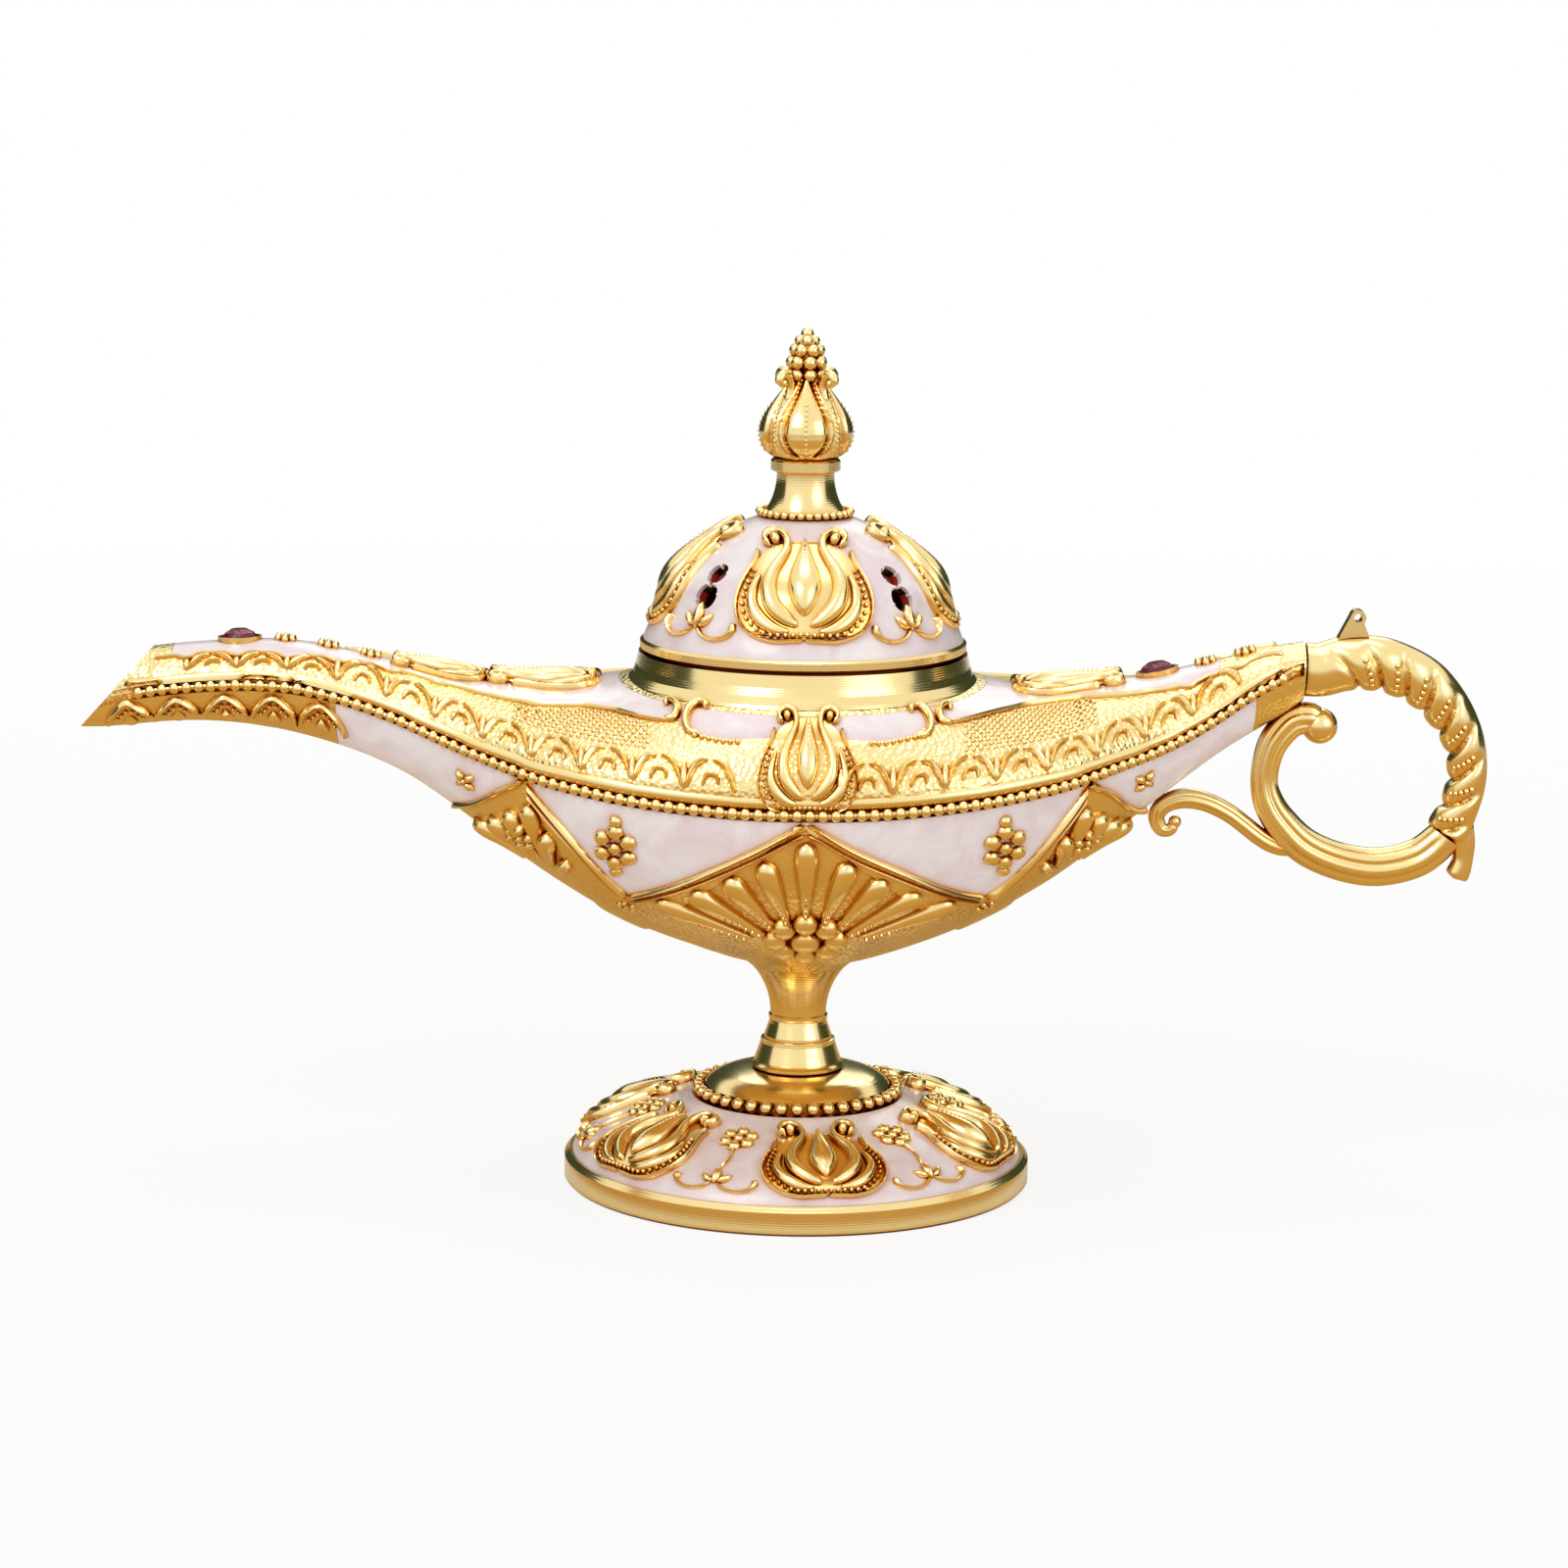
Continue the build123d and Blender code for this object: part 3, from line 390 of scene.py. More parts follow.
class Piece(Solid):
    """Points and faces of one Blender object, in the lamp's own millimetres."""

    def lay(self, relief, place, *args):
        self.add(place(relief.points, *args), relief.faces)

    def join(self, other, turn):
        """Adds another piece, turned round the lamp's axis."""
        x, y, z = other.points.T
        across, deep = x * math.cos(turn) - y * math.sin(turn), x * math.sin(turn) + y * math.cos(turn)
        self.add(np.stack((across, deep, z), 1), other.faces)

    def ball(self, centre, radius, sides=10, stretch=(1, 1, 1)):
        """Closed ball of rings, with its poles up and down."""
        levels = sides // 2 + 1
        points = [(0, 0, -1)]
        for level in range(1, levels):
            rise = -QUARTER + math.pi * level / levels
            points += [polar(math.cos(rise), TURN * k / sides, math.sin(rise)) for k in range(sides)]
        points.append((0, 0, 1))
        faces = fan_faces(1, sides, 0) + ring_faces(levels - 1, sides, 1)
        faces += fan_faces(1 + (levels - 2) * sides, sides, len(points) - 1)
        self.add(np.array(points) * radius * np.array(stretch) + np.array(centre), faces)

    def sweep(self, rows, shape, around=48, step=0.4, rounded=(1, 1)):
        """Bar in the lamp's middle plane along rows of x, z and radius, with a shaped section."""
        line, marks = smooth_line(rows, step)
        out = directions(line)[1]
        turn = np.linspace(0, TURN, around, endpoint=False)
        radius = line[:, 2:3]
        ends = np.minimum(marks / rounded[0], (marks[-1] - marks) / rounded[1])[:, None] / radius
        reach = shape(marks[:, None], turn[None, :], radius, marks[-1]) * eased(ends, 0.01)
        points = np.zeros((len(line), around, 3))
        points[..., 0] = line[:, :1] + out[:, :1] * reach * np.cos(turn)
        points[..., 1] = reach * np.sin(turn)
        points[..., 2] = line[:, 1:2] + out[:, 1:2] * reach * np.cos(turn)
        self.add(points.reshape(-1, 3), tube_faces(len(line), around))

    def wire(self, line, radius, around=8):
        """Round bar along a line in space."""
        way = np.gradient(line, axis=0)
        way /= np.linalg.norm(way, axis=1, keepdims=True)
        side = np.cross(way, (0, 0, 1))
        side /= np.linalg.norm(side, axis=1, keepdims=True)
        turn = np.linspace(0, TURN, around, endpoint=False)[:, None]
        rings = [
            spot + radius * (a * np.cos(turn) + b * np.sin(turn))
            for spot, a, b in zip(line, side, np.cross(side, way))
        ]
        self.add(np.vstack(rings), tube_faces(len(line), around))

    def turned(self, reach, heights, around=144):
        """Closed body round the axis, with its reach from heights and azimuths."""
        turn = np.linspace(0, TURN, around, endpoint=False)
        level = np.asarray(heights)[:, None]
        wide = reach(level, turn[None, :])
        points = np.stack((wide * np.cos(turn), wide * np.sin(turn), np.broadcast_to(level, wide.shape)), 2)
        self.add(points.reshape(-1, 3), tube_faces(len(heights), around))

    def build(self, name, kind="bright", body="lamp", replaced=(), crease=55):
        """Makes the Blender object, with a kind of finish, so that it rides on a body."""
        mesh = bpy.data.meshes.new(name)
        mesh.from_pydata((self.points * MM).tolist(), [], self.faces)
        work = bmesh.new()
        work.from_mesh(mesh)
        bmesh.ops.recalc_face_normals(work, faces=work.faces)
        work.to_mesh(mesh)
        work.free()
        mesh.shade_smooth()
        mesh.set_sharp_from_angle(angle=math.radians(crease))
        made = place_object(name, mesh)
        made.data.materials.append(finish_of(kind))
        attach(made, body)
        if replaced:
            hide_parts(*replaced)
        return made


def place_object(name, data):
    """New object in the scene."""
    made = bpy.data.objects.new(name, data)
    bpy.context.scene.collection.objects.link(made)
    return made


# Motifs

def each(places, *sizes):
    """Rows of places that share their half width and height."""
    return [(*place, *sizes) for place in places]


def upright(rows):
    """Rows up the middle of a motif."""
    return [(0, *row) for row in rows]


def tulip():
    """Pointed petal between two S-shaped ones that end in volutes, over lobes on a beaded flange."""
    half = Relief()
    half.bar([(0.7, 2.2, 0.4, 0.8), (2.8, 3.4, 1.2, 1.2), (4.9, 5.4, 1.5, 1.5), (5.6, 8.0, 1.3, 1.55),
              (4.9, 10.8, 1.05, 1.5), (3.6, 13.2, 0.85, 1.45), (2.7, 15.4, 0.75, 1.4),
              (2.9, 17.6, 0.75, 1.45), (4.4, 19.0, 0.8, 1.45), (6.0, 18.4, 0.75, 1.4),
              (6.4, 16.9, 0.65, 1.35), (5.4, 15.9, 0.55, 1.25)])
    half.bead(4.7, 17.3, 1.0, 1.6)
    half.bar([(2.0, 1.4, 0.3, 0.7), (4.4, 1.7, 1.0, 1.05), (6.8, 3.1, 1.3, 1.25), (8.2, 5.4, 1.1, 1.2),
              (7.9, 8.0, 0.75, 1.05), (6.8, 10.4, 0.3, 0.7)])
    half.bar(each([(0.0, 0.1), (2.4, 0.0), (5.2, -0.1), (8.4, 0.8), (10.4, 2.8), (10.9, 5.4), (10.2, 8.2),
                   (8.9, 10.8)], 0.36, 0.9) + [(7.8, 13.2, 0.45, 1.0), (7.4, 15.2, 0.5, 1.05)], THIN)
    half.bead_row([(0.5, 0.9), (3.2, 0.8), (5.8, 0.9), (8.0, 2.0), (9.5, 3.8), (9.8, 5.8), (9.1, 8.3),
                   (8.0, 10.8)], 0.5, 1.05, 1.12)
    whole = half.mirror(0)
    ground = ((0.2, 6.0), (1.4, 9.0), (3.2, 10.5), (5.4, 10.8), (8.2, 10.1), (10.8, 8.8), (13.0, 7.6),
              (14.6, 6.6), (15.8, 4.9), (16.8, 3.9), (17.5, 2.4))
    whole.bar(upright(each(ground, 0.35)), FLAT, rounding=0.8)
    whole.bar(upright([(3.6, 0.2, 0.8), (5.2, 1.5, 1.4), (7.4, 2.5, 1.8), (9.2, 2.6, 1.85), (11.2, 2.2, 1.75),
                       (13.2, 1.5, 1.6), (15.2, 0.95, 1.4), (17.6, 0.2, 1.0)]))
    whole.bead_row([(0, 7.0), (0, 11.0), (0, 15.0)], 0.3, 2.05, 0.8)
    return whole


def flower(radius=0.85, ring=1.65, petals=6, stretch=1.0):
    """Bead with a ring of beads round it."""
    made = Relief()
    made.bead(0, 0, radius * 0.85, 1.0)
    for k in range(petals):
        turn = TURN * (k + 0.5) / petals
        made.bead(ring * math.cos(turn), ring * stretch * math.sin(turn), radius, 1.0)
    return made


def trefoil():
    """Leaf of three lobes with a vine to each side that ends in a bud."""
    half = Relief()
    half.bar([(0.2, 2.2, 0.25, 0.5), (1.1, 2.7, 0.55, 0.8), (2.0, 3.9, 0.3, 0.6)])
    half.bar([(0.3, 2.2, 0.3, 0.6), (1.4, 1.2, 0.28, 0.6), (3.2, 0.8, 0.28, 0.6), (4.8, 1.3, 0.35, 0.65),
              (5.3, 2.4, 0.55, 0.8), (4.6, 3.0, 0.3, 0.6)], THIN)
    whole = half.mirror(0)
    whole.bar(upright([(1.8, 0.3, 0.6), (3.4, 0.75, 0.9), (5.2, 0.25, 0.7)]))
    return whole


def fan(focus, tips, width, beaded=True):
    """Long club-shaped petals from a focus, which may each have a row of beads up the middle."""
    made = Relief()
    for tip in tips:
        start = np.array(focus)
        way = np.array(tip) - start
        size = min(width, 0.085 * np.linalg.norm(way) + 0.35)
        if beaded:
            made.bead_row([start + way * 0.40, start + way * 0.74], 0.45, 1.75, 1.05)
        rows = ((0.34, 0.4, 0.8), (0.60, 0.65 * size, 1.2), (0.84, size, 1.8), (0.96, 0.85 * size, 1.5),
                (1.0, 0.35 * size, 0.9))
        made.bar([(*(start + way * share), half, height) for share, half, height in rows])
    return made


def cross(reach=1.9):
    """Small cross of four petals round a bead."""
    made = Relief()
    for k in range(4):
        x, v, _ = polar(reach, (k + 0.5) * QUARTER, 0)
        made.bar([(0, 0, 0.35, 0.8), (0.55 * x, 0.55 * v, 0.6, 0.95), (x, v, 0.25, 0.6)])
    made.bead(0, 0, 0.5, 1.05)
    return made


# Ornament on the bowl: places along the lamp and distances from the seam

DECK_EDGE = np.array((
    (-99, 5.6), (-92, 5.8), (-85, 5.8), (-77, 5.8), (-70, 7.2), (-62, 9.5), (-54, 11.3), (-46.7, 13.0),
    (-40, 14.7), (-36, 16.5), (-32.4, 17.8), (-28, 17.5), (-24, 15.8), (-20.8, 15.0), (-18.6, 15.0),
    (-17.2, 13.6), (-16, 12.3), (-12, 11.5), (-8, 11.6), (0, 12.2), (8, 11.6), (12, 11.5), (16.5, 12.5),
    (18.2, 14.5), (20, 15.4), (22.5, 15.5), (25.5, 16.8), (29, 18.5), (33.5, 20.0), (38, 19.5), (42, 18.0),
    (48.6, 13.6), (56, 9.8), (63.9, 7.6), (70, 6.2), (73.5, 4.6),
))
ARCH_PITCH = 7.6
ARCH_START = -2.0
HULL_EDGE_LEFT = ((-40.8, 1.6), (-36.1, 6.2), (-31.2, 12.0), (-27.4, 16.8), (-25.6, 18.6), (-21.5, 15.4),
                  (-15.6, 11.3), (-10.7, 8.1), (-5.8, 5.2), (-1.2, 2.5), (0.6, 1.7))
HULL_EDGE_RIGHT = ((0.6, 1.7), (2.6, 2.4), (7.2, 5.3), (12.7, 8.3), (17.6, 11.4), (23.2, 15.5), (27.6, 18.7),
                   (30.2, 17.0), (34.2, 12.2), (38.0, 7.2), (42.4, 1.6))
HULL_GOLD_LEFT = ((-41, 1.8), (-36.1, 11.0), (-31.2, 27), (-29, 36), (-23.5, 36), (-21.5, 26), (-16.6, 17),
                  (-11.7, 11.5), (-6.8, 7.0), (-1.9, 3.4), (0.6, 2.4))
HULL_GOLD_RIGHT = ((0.6, 2.4), (3, 3.9), (7.9, 7.9), (12.7, 12.0), (17.6, 18), (22.5, 27), (24.5, 37),
                   (30, 37), (32.3, 26), (37.2, 12.0), (42.4, 1.9))
NECK_CURLS = (
    ((-3.4, 14.9, 0.5, 0.95), (-1.7, 15.6, 0.6, 1.1), (-1.2, 17.6, 0.65, 1.2), (-1.6, 19.6, 0.6, 1.2),
     (-2.8, 20.2, 0.5, 1.1), (-3.0, 19.0, 0.4, 0.9)),
    ((2.6, 12.0, 0.5, 0.95), (0.6, 12.6, 0.6, 1.1), (0.1, 15.0, 0.65, 1.2), (0.6, 17.6, 0.65, 1.2),
     (1.9, 19.2, 0.55, 1.2), (3.0, 18.6, 0.5, 1.0), (2.8, 17.5, 0.4, 0.9)),
)
SIDE_FANS = (
    ((-36.5, 21.5), ((-40.6, 4.6), (-43.8, 7.2), (-46.8, 10.6), (-49.4, 14.4), (-37.8, 8.8), (-34.6, 13.4))),
    ((37.5, 21.0), ((42.3, 4.6), (45.2, 7.2), (47.8, 10.4), (50.0, 13.8), (39.4, 8.8), (36.4, 13.6))),
)
FAN_BORDERS = (((-41.2, 1.2), (-45.9, 5.4), (-50.8, 11.4), (-52.8, 14.6)),
               ((42.3, 1.2), (47.0, 5.0), (51.8, 13.6), (52.4, 14.6)))
FAN_MIDDLE, ROSETTE_ALONG, ROSETTE_REACH = 0.8, 23.6, 4.5
SPOUT_ARCH_PITCH = 7.4
RIDGE_TULIPS = (((0.66, 0.86, 1.1), -31.2, QUARTER), ((0.44, 0.74, 1.0), -48.3, QUARTER),
                ((0.66, 0.86, 1.1), 32.2, -QUARTER))
RIDGE_FLOWERS = (-66, -72.5, -79, 61.5, 67.5)
LID_CENTRE, FOOT_CENTRE = 84.0, -30.0  # heights that the rays at the lid and the foot aim at
VENTS = ((8.14, 2.1), (12.09, 1.785))  # place up the lid and radius


def deck_edge(x):
    """Upper edge of the gold band, scalloped along the spout and the tail."""
    x = np.asarray(x, float)
    dip = np.clip(1 - np.abs(np.sin(math.pi * (x - ARCH_START) / ARCH_PITCH)) * 1.5, 0, 1)
    return np.interp(x, *DECK_EDGE.T) - dip * np.clip((np.abs(x) - 50) / 8, 0, 1)


def add_deck_arch(made, start):
    """Arch of the deck's band over a curl, with an upright bud where it starts."""
    middle, end = start + ARCH_PITCH / 2, start + ARCH_PITCH
    low, top = 2.9, min(7.8, float(deck_edge(middle)) - 0.4)
    rise = top - low
    for foot, way in ((start, 1), (end, -1)):
        made.bar([(foot + 0.1 * way, low, 0.35, 0.9), (foot + 0.9 * way, low + 0.5 * rise, 0.55, 1.2),
                  (foot + 2.0 * way, low + 0.85 * rise, 0.5, 1.15),
                  (middle - 0.1 * way, top, 0.4, 1.0)], THIN)
    made.bar([(middle - 1.3, low + 0.1 * rise, 0.3, 0.8), (middle - 0.5, low + 0.5 * rise, 0.4, 0.95),
              (middle + 1.0, low + 0.48 * rise, 0.38, 0.95),
              (middle + 1.1, low + 0.15 * rise, 0.3, 0.8)], THIN)
    made.bar([(start, low - 0.2, 0.25, 0.8), (start, low + 0.4 * rise, 0.7, 1.15),
              (start, top - 0.4, 0.2, 0.8)])


def deck_band():
    """Stippled ground of the deck's band, and the lip, arches, basket work and curled edge on it."""
    ground, made = Relief(), Relief()
    across = np.arange(-99, 73.6, 0.8)
    ground.plate(across, np.full(len(across), 2.0), deck_edge(across), GROUND_HEIGHT)
    made.bar([(x, 1.6, 1.15, 0.62) for x in np.arange(-103, 74, 4.0)], step=0.8)
    edge = [(x, deck_edge(x) - 0.1) for x in np.arange(-98.6, 73.2, 1.2)]
    for first, last in ((-99, -18.4), (20.2, 74)):
        made.bar(each([(x, v) for x, v in edge if first < x < last], 0.42, 0.95), THIN, step=0.8)
    for x, way in ((-17.3, 1), (18.9, -1)):
        for curl in NECK_CURLS:
            made.bar([(x + u * way, *rest) for u, *rest in curl])
    for start in np.arange(ARCH_START - 13 * ARCH_PITCH, 70, ARCH_PITCH):
        if -98 <= start <= 66 and not -12 < start < 2.5:
            add_deck_arch(made, start)
    for first, last in ((-43, -22.5), (24.0, 44)):
        for row, v in enumerate(np.arange(8.9, 19, 0.9)):
            for x in np.arange(first + 0.55 * (row % 2), last, 1.1):
                if v < deck_edge(x) - 1.3:
                    made.bead(x, v, 0.42, 0.75, 6)
    for first, last in ((-15.8, -9.5), (10, 16.4)):
        row = [(x, float(deck_edge(x)) - 0.6) for x in np.linspace(first, last, 4)]
        made.bead_row(row, 0.5, 0.95, 1.05, 8)
    made.join(tulip(), (0.66, 0.86, 0.9), (0.8, 0.8))
    return ground, made


def hull_fans():
    """Stippled grounds of the hull's fans, and the double edges, petals and rosettes on them."""
    ground, made = Relief(), Relief()
    for edge, gold in ((HULL_EDGE_LEFT, HULL_GOLD_LEFT), (HULL_EDGE_RIGHT, HULL_GOLD_RIGHT)):
        across = np.linspace(edge[0][0], edge[-1][0], 60)
        low = np.interp(across, *np.array(edge).T)
        high = np.maximum(np.interp(across, *np.array(gold).T), low + 0.4)
        ground.plate(across, low, high, GROUND_HEIGHT)
        corner = int(np.argmax(np.array(edge)[:, 1]))
        for side in (edge[:corner + 1], edge[corner:]):
            made.bar(each(side, 0.42, 1.0), THIN, step=0.8)
            made.bar([(x, v + 1.35, 0.3, 0.85) for x, v in side], THIN, step=0.8)
    tips = [(-5.6, 7.3), (-10.9, 10.4), (-16.2, 13.9), (-21.6, 17.6)]
    tips = tips + [(FAN_MIDDLE, 4.0)] + [(2 * FAN_MIDDLE - x, v) for x, v in reversed(tips)]
    made.join(fan((FAN_MIDDLE, 27.0), tips, 1.75))
    for k in range(8):
        x, v, _ = polar(ROSETTE_REACH, TURN * k / 8, 0)
        made.bead(FAN_MIDDLE + x, ROSETTE_ALONG + v, 1.95, 1.9, 12)
    made.bead(FAN_MIDDLE, ROSETTE_ALONG, 2.4, 2.2, 12)
    for focus, side_tips in SIDE_FANS:
        made.join(fan(focus, side_tips, 1.3, beaded=False))
    for x in (-41.4, 42.2):
        made.join(flower(0.9, 1.7, 6), (1, 1, 2.0), (x, 11.2))
    for place in ((-25.7, 21.6), (27.6, 21.8)):
        made.join(flower(0.55, 1.1, 5), at=place)
    for border in FAN_BORDERS:
        made.bar(each(border, 0.45, 0.95), THIN)
    return ground, made


def hull_flowers():
    """Bead flowers and small crosses on the hull's enamel, and arches under the spout."""
    made = Relief()
    for x, v in ((-27.3, 8.2), (30.0, 8.0)):
        made.join(flower(1.3, 2.2, 6, 1.25), (1, 1, 1.15), (x, v))
        for shift in (4.6, -4.5):
            made.bead(x, v + shift, 1.0, 1.05)
    for x, v in ((-50.4, 5.2), (51.4, 4.4)):
        made.join(cross(), at=(x, v))
    for start in np.arange(-106, -73, SPOUT_ARCH_PITCH):
        made.bar([(start, 7.5, 0.35, 0.8), (start + 1.0, 4.4, 0.5, 1.0), (start + 3.7, 2.3, 0.5, 1.0),
                  (start + 6.4, 4.4, 0.5, 1.0), (start + 7.4, 7.5, 0.35, 0.8)], THIN)
        made.bar([(start + 3.7, 8.0, 0.4, 0.7), (start + 3.7, 6.4, 1.1, 1.0), (start + 3.7, 4.6, 0.3, 0.7)])
        made.bead_row([(start + 1.7, 5.4), (start + 3.7, 3.6), (start + 5.7, 5.4)], 0.36, 0.7, 1.0)
    return made


def vent_cusps():
    """Cusps that lobe the two round vents in one quarter of the lid."""
    made = Relief(sink=0.75)
    for along, radius in VENTS:
        for lobe in range(4):
            turn = lobe * QUARTER + 0.3
            made.bar([
                (reach * math.cos(turn), along + reach * math.sin(turn), half, 0.1)
                for reach, half in ((radius + 0.3, 0.4), (radius, 0.28), (radius - 0.2, 0.16))
            ], step=0.3)
    return made


def lay_on_bowl(skin, name, relief, kind="bright"):
    """Builds one piece of relief that lies on both sides of the bowl."""
    piece = Piece()
    piece.lay(relief, skin.place)
    piece.mirror(1).build(name, kind)


# Materials

WHITE = (1, 1, 1, 1)
NEAR = 1.5  # mm within which nearby surfaces give the gold painted shade and painted reflection, and give the enamel a peach tint that is partly its thinning at the gold and partly painted shade and reflection
WAVE_BAND = 0.314  # width of one band of the wave texture at a scale of 1


def linear(code):
    """Linear colour of an sRGB hex value."""
    parts = [int(code[k:k + 2], 16) / 255 for k in (1, 3, 5)]
    return [part / 12.92 if part <= 0.04045 else ((part + 0.055) / 1.055) ** 2.4 for part in parts]


def add_node(tree, kind, inputs=(), **settings):
    """Adds a shader node, with its settings and the values or links of its sockets."""
    made = tree.nodes.new(kind)
    for name, value in settings.items():
        setattr(made, name, value)
    for key, value in dict(inputs).items():
        if isinstance(value, bpy.types.NodeSocket):
            tree.links.new(value, made.inputs[key])
        else:
            made.inputs[key].default_value = value
    return made


def noise(tree, place, size, detail=2.0, distortion=0.0):
    """Cloudy values of a size in millimetres."""
    return add_node(tree, "ShaderNodeTexNoise", {
        "Vector": place, "Scale": 1 / (size * MM), "Detail": detail, "Distortion": distortion,
    }).outputs["Fac"]


def cells(tree, place, size):
    """Distance from the middles of cells of a size in millimetres."""
    return add_node(tree, "ShaderNodeTexVoronoi", {
        "Vector": place, "Scale": 1 / (size * MM)}).outputs["Distance"]


def openness(tree, reach):
    """Open share of the surroundings within a reach in millimetres, which is low in recesses; it masks the
    painted shade and painted reflection in the gold and the enamel.
    """
    return add_node(tree, "ShaderNodeAmbientOcclusion", {"Distance": reach * MM}, samples=8).outputs["AO"]


def bump(tree, height, strength, depth):
    """Normal of a bumped surface, with its depth in millimetres."""
    return add_node(tree, "ShaderNodeBump", {
        "Strength": strength, "Distance": depth * MM, "Height": height}).outputs["Normal"]


def blend(tree, share, first, second):
    """Mix of two shaders."""
    return add_node(tree, "ShaderNodeMixShader", {0: share, 1: first, 2: second}).outputs["Shader"]


def principled(tree, output, inputs):
    """Adds a principled shader and links it to the surface."""
    shader = add_node(tree, "ShaderNodeBsdfPrincipled", inputs)
    tree.links.new(shader.outputs["BSDF"], output.inputs["Surface"])


def begin(name):
    """Empty material with its tree, its output and the object's own coordinates."""
    material = bpy.data.materials.new(name)
    material.use_nodes = True
    tree = material.node_tree
    tree.nodes.clear()
    output = add_node(tree, "ShaderNodeOutputMaterial")
    place = add_node(tree, "ShaderNodeTexCoord").outputs["Object"]
    return material, tree, output, place


def ramp(tree, value, *stops):
    """Colour ramp with stops of place and colour."""
    made = add_node(tree, "ShaderNodeValToRGB", {"Fac": value})
    while len(made.color_ramp.elements) < len(stops):
        made.color_ramp.elements.new(0.5)
    for element, (place, colour) in zip(made.color_ramp.elements, stops):
        element.position = place
        element.color = (*colour, 1)
    return made.outputs["Color"]


def gold_plating(name, roughness, bump_size, bump_depth, grain="cast"):
    """Bright gold plating on a zinc casting: pale on the crowns, with painted shade and painted reflection of
    the gold that turn it amber where metal faces metal.
    """
    colours = bpy.context.scene.lamp_colours
    material, tree, output, place = begin(name)
    # Painted shade and painted reflection: the colour runs from amber in closed-in places to pale gold where
    # the ambient occlusion finds the surface open.
    stops = ((0.30, colours.gold_painted_shade), (0.60, linear("#E0A84E")), (0.88, colours.gold))
    if grain == "stippled":
        height = cells(tree, place, bump_size)
    elif grain == "turned":
        height = add_node(tree, "ShaderNodeTexWave", {
            "Vector": place, "Scale": WAVE_BAND / (bump_size * MM), "Distortion": 1.5, "Detail": 2.0,
        }, wave_type="BANDS", bands_direction="Z").outputs["Fac"]
    else:
        height = noise(tree, place, bump_size)
    rough = add_node(tree, "ShaderNodeMapRange", {
        "Value": noise(tree, place, 9, 1.0), "To Min": roughness * 0.8, "To Max": roughness * 1.25,
    })
    principled(tree, output, {
        "Base Color": ramp(tree, openness(tree, NEAR), *stops), "Metallic": 1.0,
        "Roughness": rough.outputs["Result"], "Normal": bump(tree, height, 0.6, bump_depth),
    })
    return material


def pearl_enamel():
    """Cold pearl enamel between the castings: cloudy pale pink, with a peach tint near the gold that is
    partly the enamel thinning there and partly painted shade and painted reflection of the gold.
    """
    material, tree, output, place = begin("Pearl_Enamel")
    deeper = bpy.context.scene.lamp_colours.enamel
    milk = ramp(tree, noise(tree, place, 7, 3.0, 1.2), (0.34, deeper), (0.62, linear("#FAF0F0")))
    # Peach tint where ambient occlusion finds the gold near: partly the enamel's own thinning at the gold,
    # partly painted shade and painted reflection of the gold.
    share = ramp(tree, openness(tree, NEAR), (0.40, (0.9, 0.9, 0.9)), (0.95, (0, 0, 0)))
    tone = add_node(tree, "ShaderNodeMixRGB", {
        "Fac": share, "Color1": milk, "Color2": (*linear("#E3A98A"), 1)}).outputs["Color"]
    principled(tree, output, {
        "Base Color": tone, "Roughness": 0.32, "IOR": 1.5, "Coat Weight": 0.5, "Coat Roughness": 0.12,
        "Normal": bump(tree, noise(tree, place, 1.6), 0.35, 0.03),
    })
    return material


def ruby_glass():
    """Moulded glass stone: dark red, polished, with a faint cloud in it."""
    material, tree, output, place = begin("Ruby_Glass")
    tone = ramp(tree, noise(tree, place, 2), (0.35, linear("#52001A")), (0.7, linear("#8A0628")))
    principled(tree, output, {
        "Base Color": tone, "Roughness": 0.12, "IOR": 1.5, "Coat Weight": 0.15, "Coat Roughness": 0.02,
    })
    return material


def zinc_plated_steel():
    """Zinc-plated steel of the hidden fasteners: cool grey with a faint crystal mottle."""
    material, tree, output, place = begin("Zinc_Plated_Steel")
    tone = ramp(tree, cells(tree, place, 0.8), (0.1, linear("#B9BCBE")), (0.8, linear("#9EA3A8")))
    principled(tree, output, {"Base Color": tone, "Metallic": 1.0, "Roughness": 0.38})
    return material


def lacquered_dome():
    """Gold-plated dome whose inside is brushed with red-brown lacquer, which shows in the vents."""
    material = gold_plating("Gold_Dome_Lacquered_Inside", 0.2, 0.5, 0.02)
    tree = material.node_tree
    metal = [node for node in tree.nodes if node.type == "BSDF_PRINCIPLED"][0]
    output = [node for node in tree.nodes if node.type == "OUTPUT_MATERIAL"][0]
    shape = add_node(tree, "ShaderNodeNewGeometry")
    flat = add_node(tree, "ShaderNodeVectorMath", {
        0: shape.outputs["Position"], 1: (1, 1, 0)}, operation="MULTIPLY")
    facing = add_node(tree, "ShaderNodeVectorMath", {
        0: flat.outputs["Vector"], 1: shape.outputs["True Normal"]}, operation="DOT_PRODUCT")
    inside = add_node(tree, "ShaderNodeMath", {0: facing.outputs["Value"], 1: 0.0}, operation="LESS_THAN")
    cloud = noise(tree, add_node(tree, "ShaderNodeTexCoord").outputs["Object"], 3)
    lacquer = add_node(tree, "ShaderNodeBsdfPrincipled", {
        "Base Color": ramp(tree, cloud, (0.3, linear("#A82416")), (0.7, linear("#D04028"))), "Roughness": 0.4,
    })
    both = blend(tree, inside.outputs["Value"], metal.outputs["BSDF"], lacquer.outputs["BSDF"])
    tree.links.new(both, output.inputs["Surface"])
    return material


